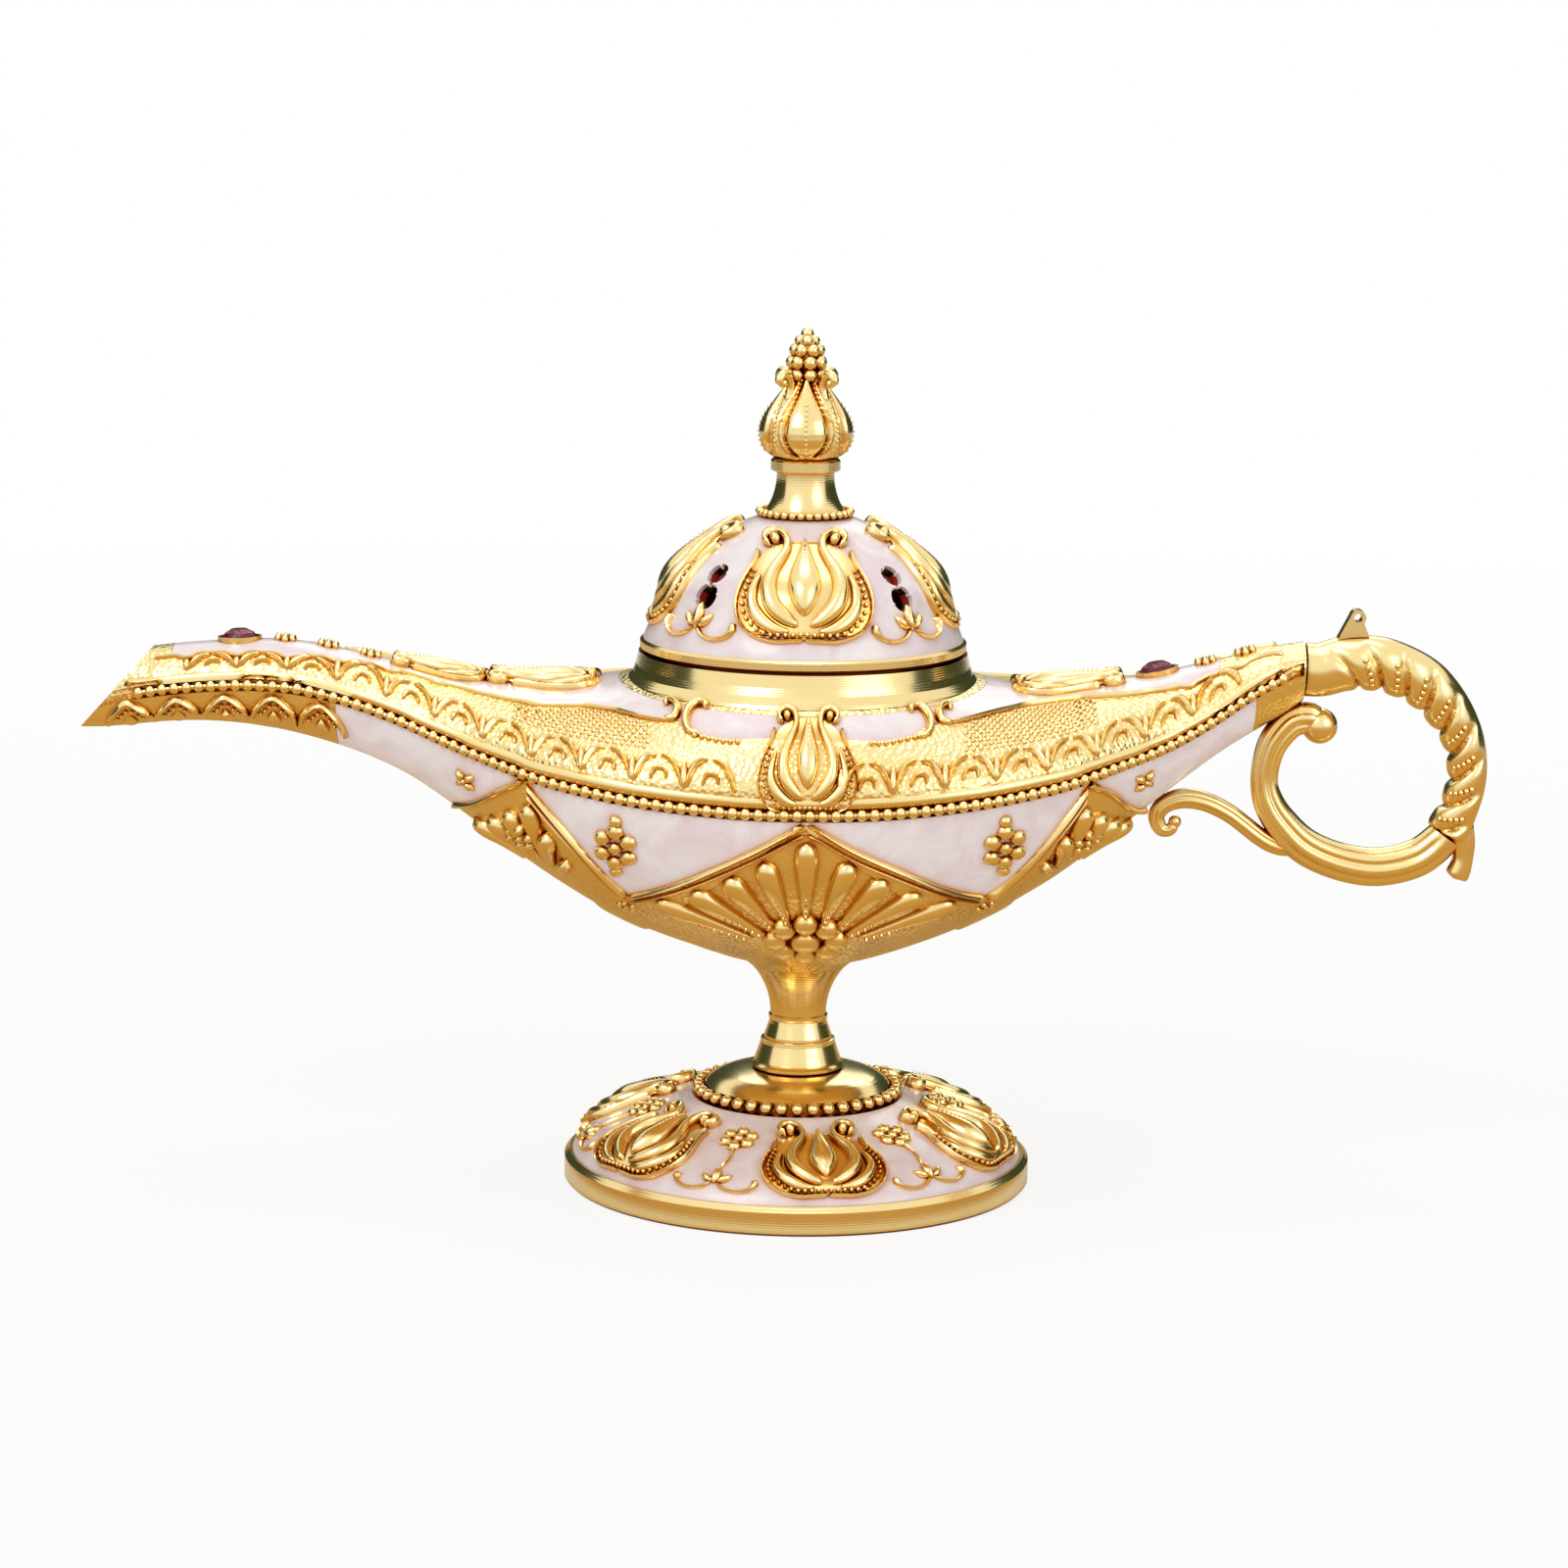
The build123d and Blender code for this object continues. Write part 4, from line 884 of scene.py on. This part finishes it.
def floor_paper():
    """Pale matt paper, kept near white for the camera with the lamp's shadow still on it."""
    material, tree, output, place = begin("Paper_Sweep")
    tone = (*bpy.context.scene.lamp_colours.floor, 1)
    paper = add_node(tree, "ShaderNodeBsdfPrincipled", {"Base Color": tone, "Roughness": 0.9})
    glow = add_node(tree, "ShaderNodeEmission", {"Color": WHITE, "Strength": 1.0})
    seen = add_node(tree, "ShaderNodeLightPath").outputs["Is Camera Ray"]
    reach = add_node(tree, "ShaderNodeVectorMath", {0: place}, operation="LENGTH").outputs["Value"]
    far = add_node(tree, "ShaderNodeMapRange", {
        "Value": reach, "From Min": 0.1, "From Max": 0.8, "To Min": 0.84, "To Max": 1.0}).outputs["Result"]
    share = add_node(tree, "ShaderNodeMath", {0: seen, 1: far}, operation="MULTIPLY").outputs["Value"]
    both = blend(tree, share, paper.outputs["BSDF"], glow.outputs["Emission"])
    tree.links.new(both, output.inputs["Surface"])
    return material


def plain_card(name, code, roughness):
    """Surface of a card that polished gold mirrors, in one colour."""
    material, tree, output, _ = begin(name)
    principled(tree, output, {"Base Color": (*linear(code), 1), "Roughness": roughness})
    return material


def white_studio():
    """World that mirrors white and lights the lamp softly."""
    world = bpy.data.worlds.new("White_Studio")
    world.use_nodes = True
    tree = world.node_tree
    tree.nodes.clear()
    seen = add_node(tree, "ShaderNodeLightPath")
    straight = seen.outputs["Is Camera Ray"]
    for kind in ("Is Glossy Ray", "Is Transmission Ray"):
        straight = add_node(tree, "ShaderNodeMath", {
            0: straight, 1: seen.outputs[kind]}, operation="MAXIMUM").outputs["Value"]
    lit, shown = (
        add_node(tree, "ShaderNodeBackground", {"Color": WHITE, "Strength": strength}).outputs["Background"]
        for strength in (0.47, 1.0)
    )
    add_node(tree, "ShaderNodeOutputWorld", {"Surface": blend(tree, straight, lit, shown)})
    return world


FINISHES = {
    "bright": lambda: gold_plating("Bright_Gold_Plating", 0.2, 0.5, 0.02),
    "turned": lambda: gold_plating("Turned_Gold_Plating", 0.17, 0.35, 0.012, "turned"),
    "stippled": lambda: gold_plating("Stippled_Gold_Plating", 0.24, 0.75, 0.24, "stippled"),
    "enamel": pearl_enamel,
    "ruby": ruby_glass,
    "steel": zinc_plated_steel,
    "dome": lacquered_dome,
}
made_finishes = {}


def finish_of(kind):
    """Material of a finish, made the first time that it is asked for."""
    if kind not in made_finishes:
        made_finishes[kind] = FINISHES[kind]()
    return made_finishes[kind]


NODE_FINISHES = {
    "turned": ["stem_collar", "stem_cup", "finial_neck", "lid_rim", "lid_locating_ring", "neck_ring",
               "foot_casting"],
    "stippled": ["hull_shell", "deck_shell"],
    "bright": ["foot_beads", "finial_beads", "finial_bulb", "finial_cluster", "handle_lug", "handle_arc",
               "handle_leaf", "handle_scroll", "handle_brace", "spout_gem_bezel", "tail_gem_bezel",
               "seam_moulding"],
    "enamel": ["hull_enamel", "deck_enamel", "foot_enamel", "lid_enamel"],
    "ruby": ["spout_gem", "tail_gem"],
    "steel": ["tie_rod", "tie_washer", "tie_nut", "finial_stud", "finial_nut"],
    "dome": ["lid_dome"],
}


# Handle: lines as in the casting, rows of x, z and radius

HANDLE_X, HANDLE_REACH, HANDLE_Z, HANDLE_HEIGHT = 76.4, 28.5, 80.6, 30.7


def handle_rows(shares, thick):
    """Rows from shares of the handle's reach, of its height and of a thickness."""
    return [
        (HANDLE_X + HANDLE_REACH * a, HANDLE_Z + HANDLE_HEIGHT * b, thick * c) for a, b, c in shares]


ARC_ROWS = handle_rows((
    (0.0, 0.0, 1.0), (0.10, 0.0, 1.0), (0.22, 0.03, 1.02), (0.38, 0.034, 1.03), (0.52, 0.0, 1.0),
    (0.66, -0.07, 0.96), (0.78, -0.19, 0.88), (0.86, -0.32, 0.80), (0.894, -0.45, 0.76),
    (0.89, -0.58, 0.75), (0.85, -0.71, 0.76), (0.79, -0.83, 0.84)), 4.1)
LEAF_ROWS = handle_rows((
    (0.85, -0.78, 0.62), (0.885, -0.87, 0.46), (0.89, -0.94, 0.38), (0.875, -1.0, 0.42),
    (0.85, -1.05, 0.46)), 4.1)
SCROLL_ROWS = handle_rows((
    (0.80, -0.82, 0.95), (0.765, -0.86, 0.98), (0.66, -0.94, 1.02), (0.52, -0.985, 1.03),
    (0.37, -0.995, 1.03), (0.19, -0.96, 1.0), (0.03, -0.89, 0.97), (-0.09, -0.78, 0.9), (-0.16, -0.68, 0.82),
    (-0.19, -0.57, 0.73), (-0.175, -0.44, 0.76), (-0.13, -0.342, 0.82), (-0.05, -0.262, 0.86),
    (0.04, -0.247, 0.86), (0.105, -0.285, 0.8)), 2.9)
BRACE_ROWS = handle_rows((
    (0.0, -0.90, 0.9), (-0.08, -0.90, 0.95), (-0.15, -0.88, 0.95), (-0.22, -0.84, 0.95),
    (-0.29, -0.79, 0.93), (-0.38, -0.73, 0.95), (-0.50, -0.677, 1.0),
    (-0.62, -0.660, 1.05), (-0.72, -0.69, 0.95), (-0.765, -0.75, 0.85), (-0.74, -0.815, 0.75),
    (-0.69, -0.82, 0.65), (-0.665, -0.78, 0.55)), 1.5)
LOBE_PITCH = 4.7
LOBE_START = -0.3
LOBE_LEAN = 4.2
LOBE_DEPTH = 1.15
LOBE_COUNT = 13
LOBE_BEADS = (1.35, 1.6, 1.85, 2.1, 2.35)


def leaf_wrap(marks, turn, radius, total):
    """Bar wrapped in puffed leaf lobes that lean towards the loop's inner side, with a plain back."""
    inner = (1 - np.cos(turn)) / 2
    place = (marks - LOBE_START - LOBE_LEAN * inner) / LOBE_PITCH
    part = place - np.floor(place)
    lift = 1 - np.abs(2 * part ** 0.8 - 1) ** 3
    fade = np.clip((place - 0.6) * 2, 0, 1) * np.clip(inner * 4 - 0.3, 0, 1)
    return radius - LOBE_DEPTH * (1 - lift) * fade


def fluted(marks, turn, radius, total):
    """Round bar with two flutes down each face."""
    angle = np.minimum(turn, TURN - turn)
    flutes = sum(np.exp(-((angle - math.radians(centre)) / math.radians(10)) ** 2) for centre in (58, 106))
    fade = np.clip(np.minimum(marks, total - marks) / 3, 0, 1)
    return radius * (1 - 0.16 * flutes * fade)


# Finial: heights and reaches of the bulb's ridges, the line of the curls on its shoulders, lines of beads
# as a shift in quarter turns between two heights, and berries as height, reach, count and size

BULB_ROWS = np.array((
    (112.05, 4.7), (112.6, 5.7), (113.3, 6.35), (114.2, 6.85), (115.2, 7.1), (116.2, 7.13), (117.2, 6.98),
    (118.2, 6.6), (119.2, 6.05), (120.2, 5.35), (121.2, 4.6), (122.2, 3.85), (123.2, 3.2), (124.2, 2.7),
    (125.0, 2.3),
))
CURL_ROWS = ((4.2, 120.6, 0.6), (3.7, 121.8, 0.65), (3.5, 123.0, 0.7), (3.9, 124.2, 0.75), (4.9, 124.9, 0.75),
             (5.8, 124.3, 0.7), (5.9, 123.3, 0.6))
BULB_BEADS = ((0.0, 113.2, 120.4), (0.5, 113.6, 120.6))
BERRY_ROWS = ((124.6, 2.3, 7, 1.05), (126.5, 2.15, 7, 1.1), (128.3, 1.7, 6, 1.05), (129.7, 1.0, 4, 0.95))


def bulb_reach(height, azimuth):
    """Reach of the bulb: four tongues bordered by grooves, with a rib between neighbours."""
    ridge = np.interp(height, *BULB_ROWS.T)
    low, high = BULB_ROWS[0][0] + 0.4, BULB_ROWS[-1][0] + 0.5
    share = np.clip((height - low) / (high - low), 0, 1)
    tongue = math.radians(31) * np.sin(math.pi * share ** 0.62) ** 0.75
    away = np.abs((azimuth + QUARTER / 2) % QUARTER - QUARTER / 2)
    groove = sum(np.exp(-((away - tongue - math.radians(apart)) / math.radians(wide)) ** 2) * deep
                 for apart, wide, deep in ((0.0, 3.8, 1.0), (9.5, 2.2, 0.5)))
    fade = np.clip((height - low + 0.3) / 0.9, 0, 1)
    return ridge - (groove + 0.25 * np.minimum(away / math.radians(30), 1) ** 2) * fade


# Stones

STONE_SIDES = 12
STONE_ALONG, STONE_ACROSS = 2.8, 2.15  # mm from the middle to the edge
STONE_RINGS = ((0.98, 0.0, 0), (0.98, 0.42, 0), (0.80, 0.76, 0.5), (0.45, 1.0, 0))


def facetted_stone(points):
    """Oval stone of flat facets, with the place, tilt and depth of a plain one."""
    centre = points.mean(0)
    tilt = np.polyfit(points[:, 0] - centre[0], points[:, 2] - centre[2], 1)[0]
    along, across = np.array((1, 0, tilt)) / math.hypot(1, tilt), np.array((0, 1, 0))
    up = np.cross(along, across)
    heights = (points - centre) @ up
    spots = []
    for size, share, shift in STONE_RINGS:
        middle = centre + up * (heights.min() + share * (heights.max() - heights.min()))
        for k in range(STONE_SIDES):
            x, y, _ = polar(size, TURN * (k + shift) / STONE_SIDES, 0)
            spots.append(middle + along * STONE_ALONG * x + across * STONE_ACROSS * y)
    faces = [tuple(range(STONE_SIDES)), tuple(range(len(spots) - STONE_SIDES, len(spots)))]
    for a, b, c, d in ring_faces(len(STONE_RINGS), STONE_SIDES):
        faces += [(a, b, d), (b, c, d)]
    made = Piece()
    made.add(spots, faces)
    return made


# Stage: soft lamps as name, place, aim, size and power, and cards that only reflections see

LAMPS = (
    ("key_lamp", (-0.55, -0.75, 0.95), (0, 0, 0.07), 0.6, 4.2),
    ("fill_lamp", (0.75, -0.7, 0.55), (0, 0, 0.06), 0.7, 1.8),
    ("top_lamp", (0.0, 0.1, 1.1), (0, 0, 0.05), 0.7, 2.2),
    ("back_lamp", (0.1, 0.9, 0.6), (0, 0, 0.07), 0.6, 1.2),
)
CARD_STEPS = 48


def add_card(name, points, faces, material):
    """Card that only reflections see."""
    card = place_object(name, bpy.data.meshes.new(name))
    card.data.from_pydata(points, [], faces)
    card.data.materials.append(material)
    card.visible_camera = card.visible_diffuse = card.visible_shadow = False


# Settings, operators and panel

class LampForms(bpy.types.PropertyGroup):
    """Sizes that can be changed before the pieces are made."""
    bead_diameter: FloatProperty(
        name="Seam bead diameter", description="Diameter of the beads in the seam",
        default=1.82 * MM, min=0.5 * MM, max=3 * MM, precision=5, unit="LENGTH")
    bead_spacing: FloatProperty(
        name="Seam bead spacing", description="Distance between neighbouring beads of the seam",
        default=1.87 * MM, min=1 * MM, max=6 * MM, precision=5, unit="LENGTH")
    foot_turn: FloatProperty(
        name="Turn of the foot's tulips", description="Angle of the front tulip from straight ahead",
        default=math.radians(8), unit="ROTATION")
    foot_tulips: IntProperty(
        name="Tulips on the foot", description="Number of tulips round the foot", default=6, min=3, max=8)


class LampColours(bpy.types.PropertyGroup):
    """Colours of the finishes."""
    gold: FloatVectorProperty(
        name="Gold", description="Gold plating on crowns and plain bands", subtype="COLOR", size=3,
        min=0, max=1, default=linear("#F8DF9E"))
    # Amber of the painted shade and painted reflection that the gold gets in recesses and next to other
    # surfaces.
    gold_painted_shade: FloatVectorProperty(
        name="Gold in recesses", description="Gold plating where it faces more gold", subtype="COLOR", size=3,
        min=0, max=1, default=linear("#98540E"))
    enamel: FloatVectorProperty(
        name="Enamel", description="Deeper tone of the pearl enamel", subtype="COLOR", size=3, min=0, max=1,
        default=linear("#F2DDE0"))
    floor: FloatVectorProperty(
        name="Floor", description="Pale studio floor", subtype="COLOR", size=3, min=0, max=1,
        default=linear("#F4F4F2"))


class LAMP_OT_finishes(bpy.types.Operator):
    """Give every CAD node its plated, enamelled, glass or steel finish"""
    bl_idname = "lamp.finishes"
    bl_label = "Finish the castings"

    def execute(self, context):
        for kind, names in NODE_FINISHES.items():
            for name in names:
                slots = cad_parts[name].data.materials
                slots.clear()
                slots.append(finish_of(kind))
        return {"FINISHED"}


class LAMP_OT_seam_beads(bpy.types.Operator):
    """Lay a row of beads in the seam, in place of the plain moulding"""
    bl_idname = "lamp.seam_beads"
    bl_label = "Seam beads"

    def execute(self, context):
        forms = context.scene.lamp_forms
        line, radius = seam_of_bowl() / MM, forms.bead_diameter / MM / 2
        lengths = lengths_along(line)
        marks = np.linspace(0, lengths[-1], int(lengths[-1] / (forms.bead_spacing / MM)))
        row = points_at(marks, lengths, line)
        piece = Piece()
        for spot in row:
            piece.ball(spot, radius)
        piece.wire(row, 0.5 * radius)
        piece.mirror(1).build("seam_bead_row", replaced=["seam_moulding"])
        return {"FINISHED"}


class LAMP_OT_deck_ornament(bpy.types.Operator):
    """Lay the stippled band, the arches, the tulips and the ridge flowers on the deck"""
    bl_idname = "lamp.deck_ornament"
    bl_label = "Deck ornament"

    def execute(self, context):
        skin = bowl_skin(["deck_shell", "deck_enamel"], 1)
        ground, band = deck_band()
        lay_on_bowl(skin, "deck_band_ground", ground, "stippled")
        lay_on_bowl(skin, "deck_gold_band", band)
        ridge, piece = Relief(), Piece()
        for scale, x, turn in RIDGE_TULIPS:
            ridge.join(tulip(), scale, (x, 0), turn)
        for x in RIDGE_FLOWERS:
            ridge.join(flower(0.6, 1.2), at=(x, 0))
        piece.lay(ridge, top_skin().place)
        piece.build("deck_ridge_ornament")
        return {"FINISHED"}


class LAMP_OT_hull_ornament(bpy.types.Operator):
    """Lay the fans, the flowers and the arches on the hull"""
    bl_idname = "lamp.hull_ornament"
    bl_label = "Hull ornament"

    def execute(self, context):
        skin = bowl_skin(["hull_shell", "hull_enamel"], -1)
        ground, fans = hull_fans()
        lay_on_bowl(skin, "hull_fan_grounds", ground, "stippled")
        lay_on_bowl(skin, "hull_gold_fans", fans)
        lay_on_bowl(skin, "hull_bead_flowers", hull_flowers())
        return {"FINISHED"}


class LAMP_OT_lid_ornament(bpy.types.Operator):
    """Lay four tulips with trefoils between them on the lid, and lobe the round vents"""
    bl_idname = "lamp.lid_ornament"
    bl_label = "Lid ornament"

    def execute(self, context):
        skin = RoundSkin(["lid_enamel"], LID_CENTRE, 3, 80)
        piece, cusps = Piece(), Piece()
        motif, leaf = Relief(), Relief()
        motif.join(tulip(), (0.95, 1.02, 1), (0, 2.2))
        leaf.join(trefoil(), (1.3, 1.3, 1.2), (0, 0.6))
        for k in range(4):
            piece.lay(motif, skin.place, k * QUARTER)
            piece.lay(leaf, skin.place, (k + 0.5) * QUARTER)
            cusps.lay(vent_cusps(), skin.place, (k + 0.5) * QUARTER)
        piece.build("lid_tulips", body="lid")
        cusps.build("lid_vent_cusps", "enamel", "lid")
        return {"FINISHED"}


class LAMP_OT_foot_ornament(bpy.types.Operator):
    """Lay the tulips, flowers and trefoils round the foot"""
    bl_idname = "lamp.foot_ornament"
    bl_label = "Foot ornament"

    def execute(self, context):
        forms = context.scene.lamp_forms
        skin = RoundSkin(["foot_enamel"], FOOT_CENTRE, 45, 68.5)
        motif, between = Relief(), Relief()
        motif.join(tulip(), (0.86, 0.84, 1.2), (0, 1.2))
        between.join(flower(1.1, 2.0), at=(0, 13.2))
        between.join(trefoil(), (1.2, 1.0, 1.0), (0, 0.6))
        between.bar([(0, 5.6, 0.25, 0.6), (0.5, 8.2, 0.25, 0.6), (0, 11.2, 0.25, 0.6)], THIN)
        piece = Piece()
        for k in range(forms.foot_tulips):
            turn = -QUARTER + forms.foot_turn + TURN * k / forms.foot_tulips
            piece.lay(motif, skin.place, turn)
            piece.lay(between, skin.place, turn + TURN / 2 / forms.foot_tulips)
        piece.build("foot_tulips")
        return {"FINISHED"}


class LAMP_OT_finial(bpy.types.Operator):
    """Raise the petals of the finial and pile its cluster of berries"""
    bl_idname = "lamp.finial"
    bl_label = "Finial"

    def execute(self, context):
        piece, curl = Piece(), Piece()
        piece.turned(bulb_reach, np.linspace(BULB_ROWS[0][0], BULB_ROWS[-1][0], 70))
        curl.sweep(CURL_ROWS, lambda marks, turn, radius, total: radius + 0 * turn, around=12, step=0.3)
        curl.ball((5.05, 0, 123.6), 0.75, 12)
        for k in range(4):
            for shift, first, last in BULB_BEADS:
                azimuth = (k + shift) * QUARTER
                for height in np.arange(first, last, 0.72):
                    reach = float(bulb_reach(height, azimuth)) - 0.08
                    piece.ball(polar(reach, azimuth, height), 0.27, 8)
            piece.join(curl, (k + 0.5) * QUARTER)
        piece.build("finial_petalled_bulb", body="lid", replaced=["finial_bulb"])
        piece = Piece()
        piece.ball((0, 0, 127.4), 1.9, 12, (1, 1, 2.0))
        for height, reach, count, size in BERRY_ROWS:
            for k in range(count):
                piece.ball(polar(reach, TURN * (k + 0.5 * (count % 2)) / count, height), size)
        piece.ball((0, 0, 130.75), 1.0)
        piece.build("finial_berries", body="lid", replaced=["finial_cluster"])
        return {"FINISHED"}


class LAMP_OT_handle(bpy.types.Operator):
    """Sweep the leaf-wrapped bar, its curled leaf, the fluted scroll and the small scroll"""
    bl_idname = "lamp.handle"
    bl_label = "Handle"

    def execute(self, context):
        piece = Piece()
        piece.sweep(ARC_ROWS, leaf_wrap, around=56, step=0.3, rounded=(0.06, 0.2))
        line, marks = smooth_line(ARC_ROWS, 0.3)
        out = directions(line)[1]
        for lobe in range(1, LOBE_COUNT + 1):
            for angle in LOBE_BEADS:
                lean = LOBE_LEAN * (1 - math.cos(angle)) / 2
                mark = LOBE_START + lean + (lobe + 0.8 - 0.1 * angle) * LOBE_PITCH
                if mark > marks[-1] - 2:
                    continue
                x, z, radius, side, rise = (np.interp(mark, marks, column) for column in (*line.T, *out.T))
                reach = radius * math.cos(angle)
                for face in (-1, 1):
                    piece.ball((x + side * reach, face * radius * math.sin(angle), z + rise * reach), 0.48, 8)
        piece.sweep(LEAF_ROWS, lambda marks, turn, radius, total: radius * (1 + 0.12 * np.cos(3 * turn)),
                    around=24, rounded=(0.3, 0.4))
        piece.build("handle_leaf_wrap", replaced=["handle_arc", "handle_leaf"], crease=70)
        piece = Piece()
        piece.sweep(SCROLL_ROWS, fluted, around=72, rounded=(0.06, 1))
        piece.ball((79.2, 0, 71.9), 2.75, 24)
        piece.build("handle_fluted_scroll", replaced=["handle_scroll"])
        piece = Piece()
        piece.sweep(BRACE_ROWS, fluted, around=48, step=0.3, rounded=(0.2, 1))
        piece.ball((BRACE_ROWS[-1][0], 0, BRACE_ROWS[-1][1]), 1.0, 16)
        piece.build("handle_small_scroll", replaced=["handle_brace"])
        return {"FINISHED"}


class LAMP_OT_stones(bpy.types.Operator):
    """Set a facetted oval stone in each bezel"""
    bl_idname = "lamp.stones"
    bl_label = "Stones"

    def execute(self, context):
        for name in ("spout_gem", "tail_gem"):
            stone = facetted_stone(vertices_of(name) / MM)
            stone.build(name + "_facetted", "ruby", replaced=[name]).data.shade_flat()
        return {"FINISHED"}


class LAMP_OT_stage(bpy.types.Operator):
    """Set the pale floor, the soft lamps, the two mirrored cards and the camera of the photograph"""
    bl_idname = "lamp.stage"
    bl_label = "Stage"

    def execute(self, context):
        scene = context.scene
        camera = place_object("Camera", bpy.data.cameras.new("Camera"))
        camera.data.sensor_width = sensor_width
        camera.data.lens = camera_focal_pixels / photo_pixels * sensor_width
        camera.data.clip_start, camera.data.clip_end = 0.01, 30
        right, up, forward = camera_axes()
        turn = Matrix((right, up, -forward)).transposed()
        camera.matrix_world = Matrix.Translation(camera_place) @ turn.to_4x4()
        scene.camera = camera
        scene.view_settings.view_transform = "Standard"

        floor = place_object("studio_floor", bpy.data.meshes.new("studio_floor"))
        work = bmesh.new()
        bmesh.ops.create_circle(work, cap_ends=True, radius=6.0, segments=96)
        work.to_mesh(floor.data)
        work.free()
        floor.data.materials.append(floor_paper())

        for name, spot, aim, size, power in LAMPS:
            lamp = place_object(name, bpy.data.lights.new(name, "AREA"))
            lamp.data.shape, lamp.data.size, lamp.data.energy = "DISK", size, power
            lamp.location = spot
            lamp.rotation_euler = (Vector(aim) - Vector(spot)).to_track_quat("-Z", "Y").to_euler()

        turns = np.radians(np.linspace(-8, 188, CARD_STEPS + 1))
        wall = [polar(1.25, turn, z) for z in (0.0, 0.7) for turn in turns]
        faces = [(k, k + 1, k + CARD_STEPS + 2, k + CARD_STEPS + 1) for k in range(CARD_STEPS)]
        add_card("rear_card", wall, faces, plain_card("Card_Felt", "#3E4A30", 1.0))
        turns = np.linspace(0, TURN, CARD_STEPS, endpoint=False)
        ring = [polar(reach, turn, 0.0006) for reach in (0.04, 0.6) for turn in turns]
        foil = plain_card("Reflector_Foil", "#D2A860", 0.8)
        add_card("low_reflector", ring, ring_faces(2, CARD_STEPS), foil)
        scene.world = white_studio()
        return {"FINISHED"}


class LAMP_PT_panel(bpy.types.Panel):
    """Sizes, colours and pieces of the lamp"""
    bl_label = "Genie oil lamp"
    bl_idname = "LAMP_PT_panel"
    bl_space_type = "VIEW_3D"
    bl_region_type = "UI"
    bl_category = "Lamp"

    def draw(self, context):
        for group in (context.scene.lamp_forms, context.scene.lamp_colours):
            box = self.layout.box()
            for name in group.__annotations__:
                box.prop(group, name)
        for operator in OPERATORS:
            self.layout.operator(operator.bl_idname)


OPERATORS = (
    LAMP_OT_finishes, LAMP_OT_seam_beads, LAMP_OT_deck_ornament, LAMP_OT_hull_ornament, LAMP_OT_lid_ornament,
    LAMP_OT_foot_ornament, LAMP_OT_finial, LAMP_OT_handle, LAMP_OT_stones, LAMP_OT_stage,
)
CLASSES = (LampForms, LampColours, *OPERATORS, LAMP_PT_panel)


def register():
    for made in CLASSES:
        bpy.utils.register_class(made)
    bpy.types.Scene.lamp_forms = PointerProperty(type=LampForms)
    bpy.types.Scene.lamp_colours = PointerProperty(type=LampColours)


def unregister():
    del bpy.types.Scene.lamp_forms
    del bpy.types.Scene.lamp_colours
    for made in reversed(CLASSES):
        bpy.utils.unregister_class(made)


def main():
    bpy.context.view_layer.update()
    register()
    for operator in OPERATORS:
        getattr(bpy.ops.lamp, operator.bl_idname.split(".")[1])()


if __name__ == "__main__":
    main()
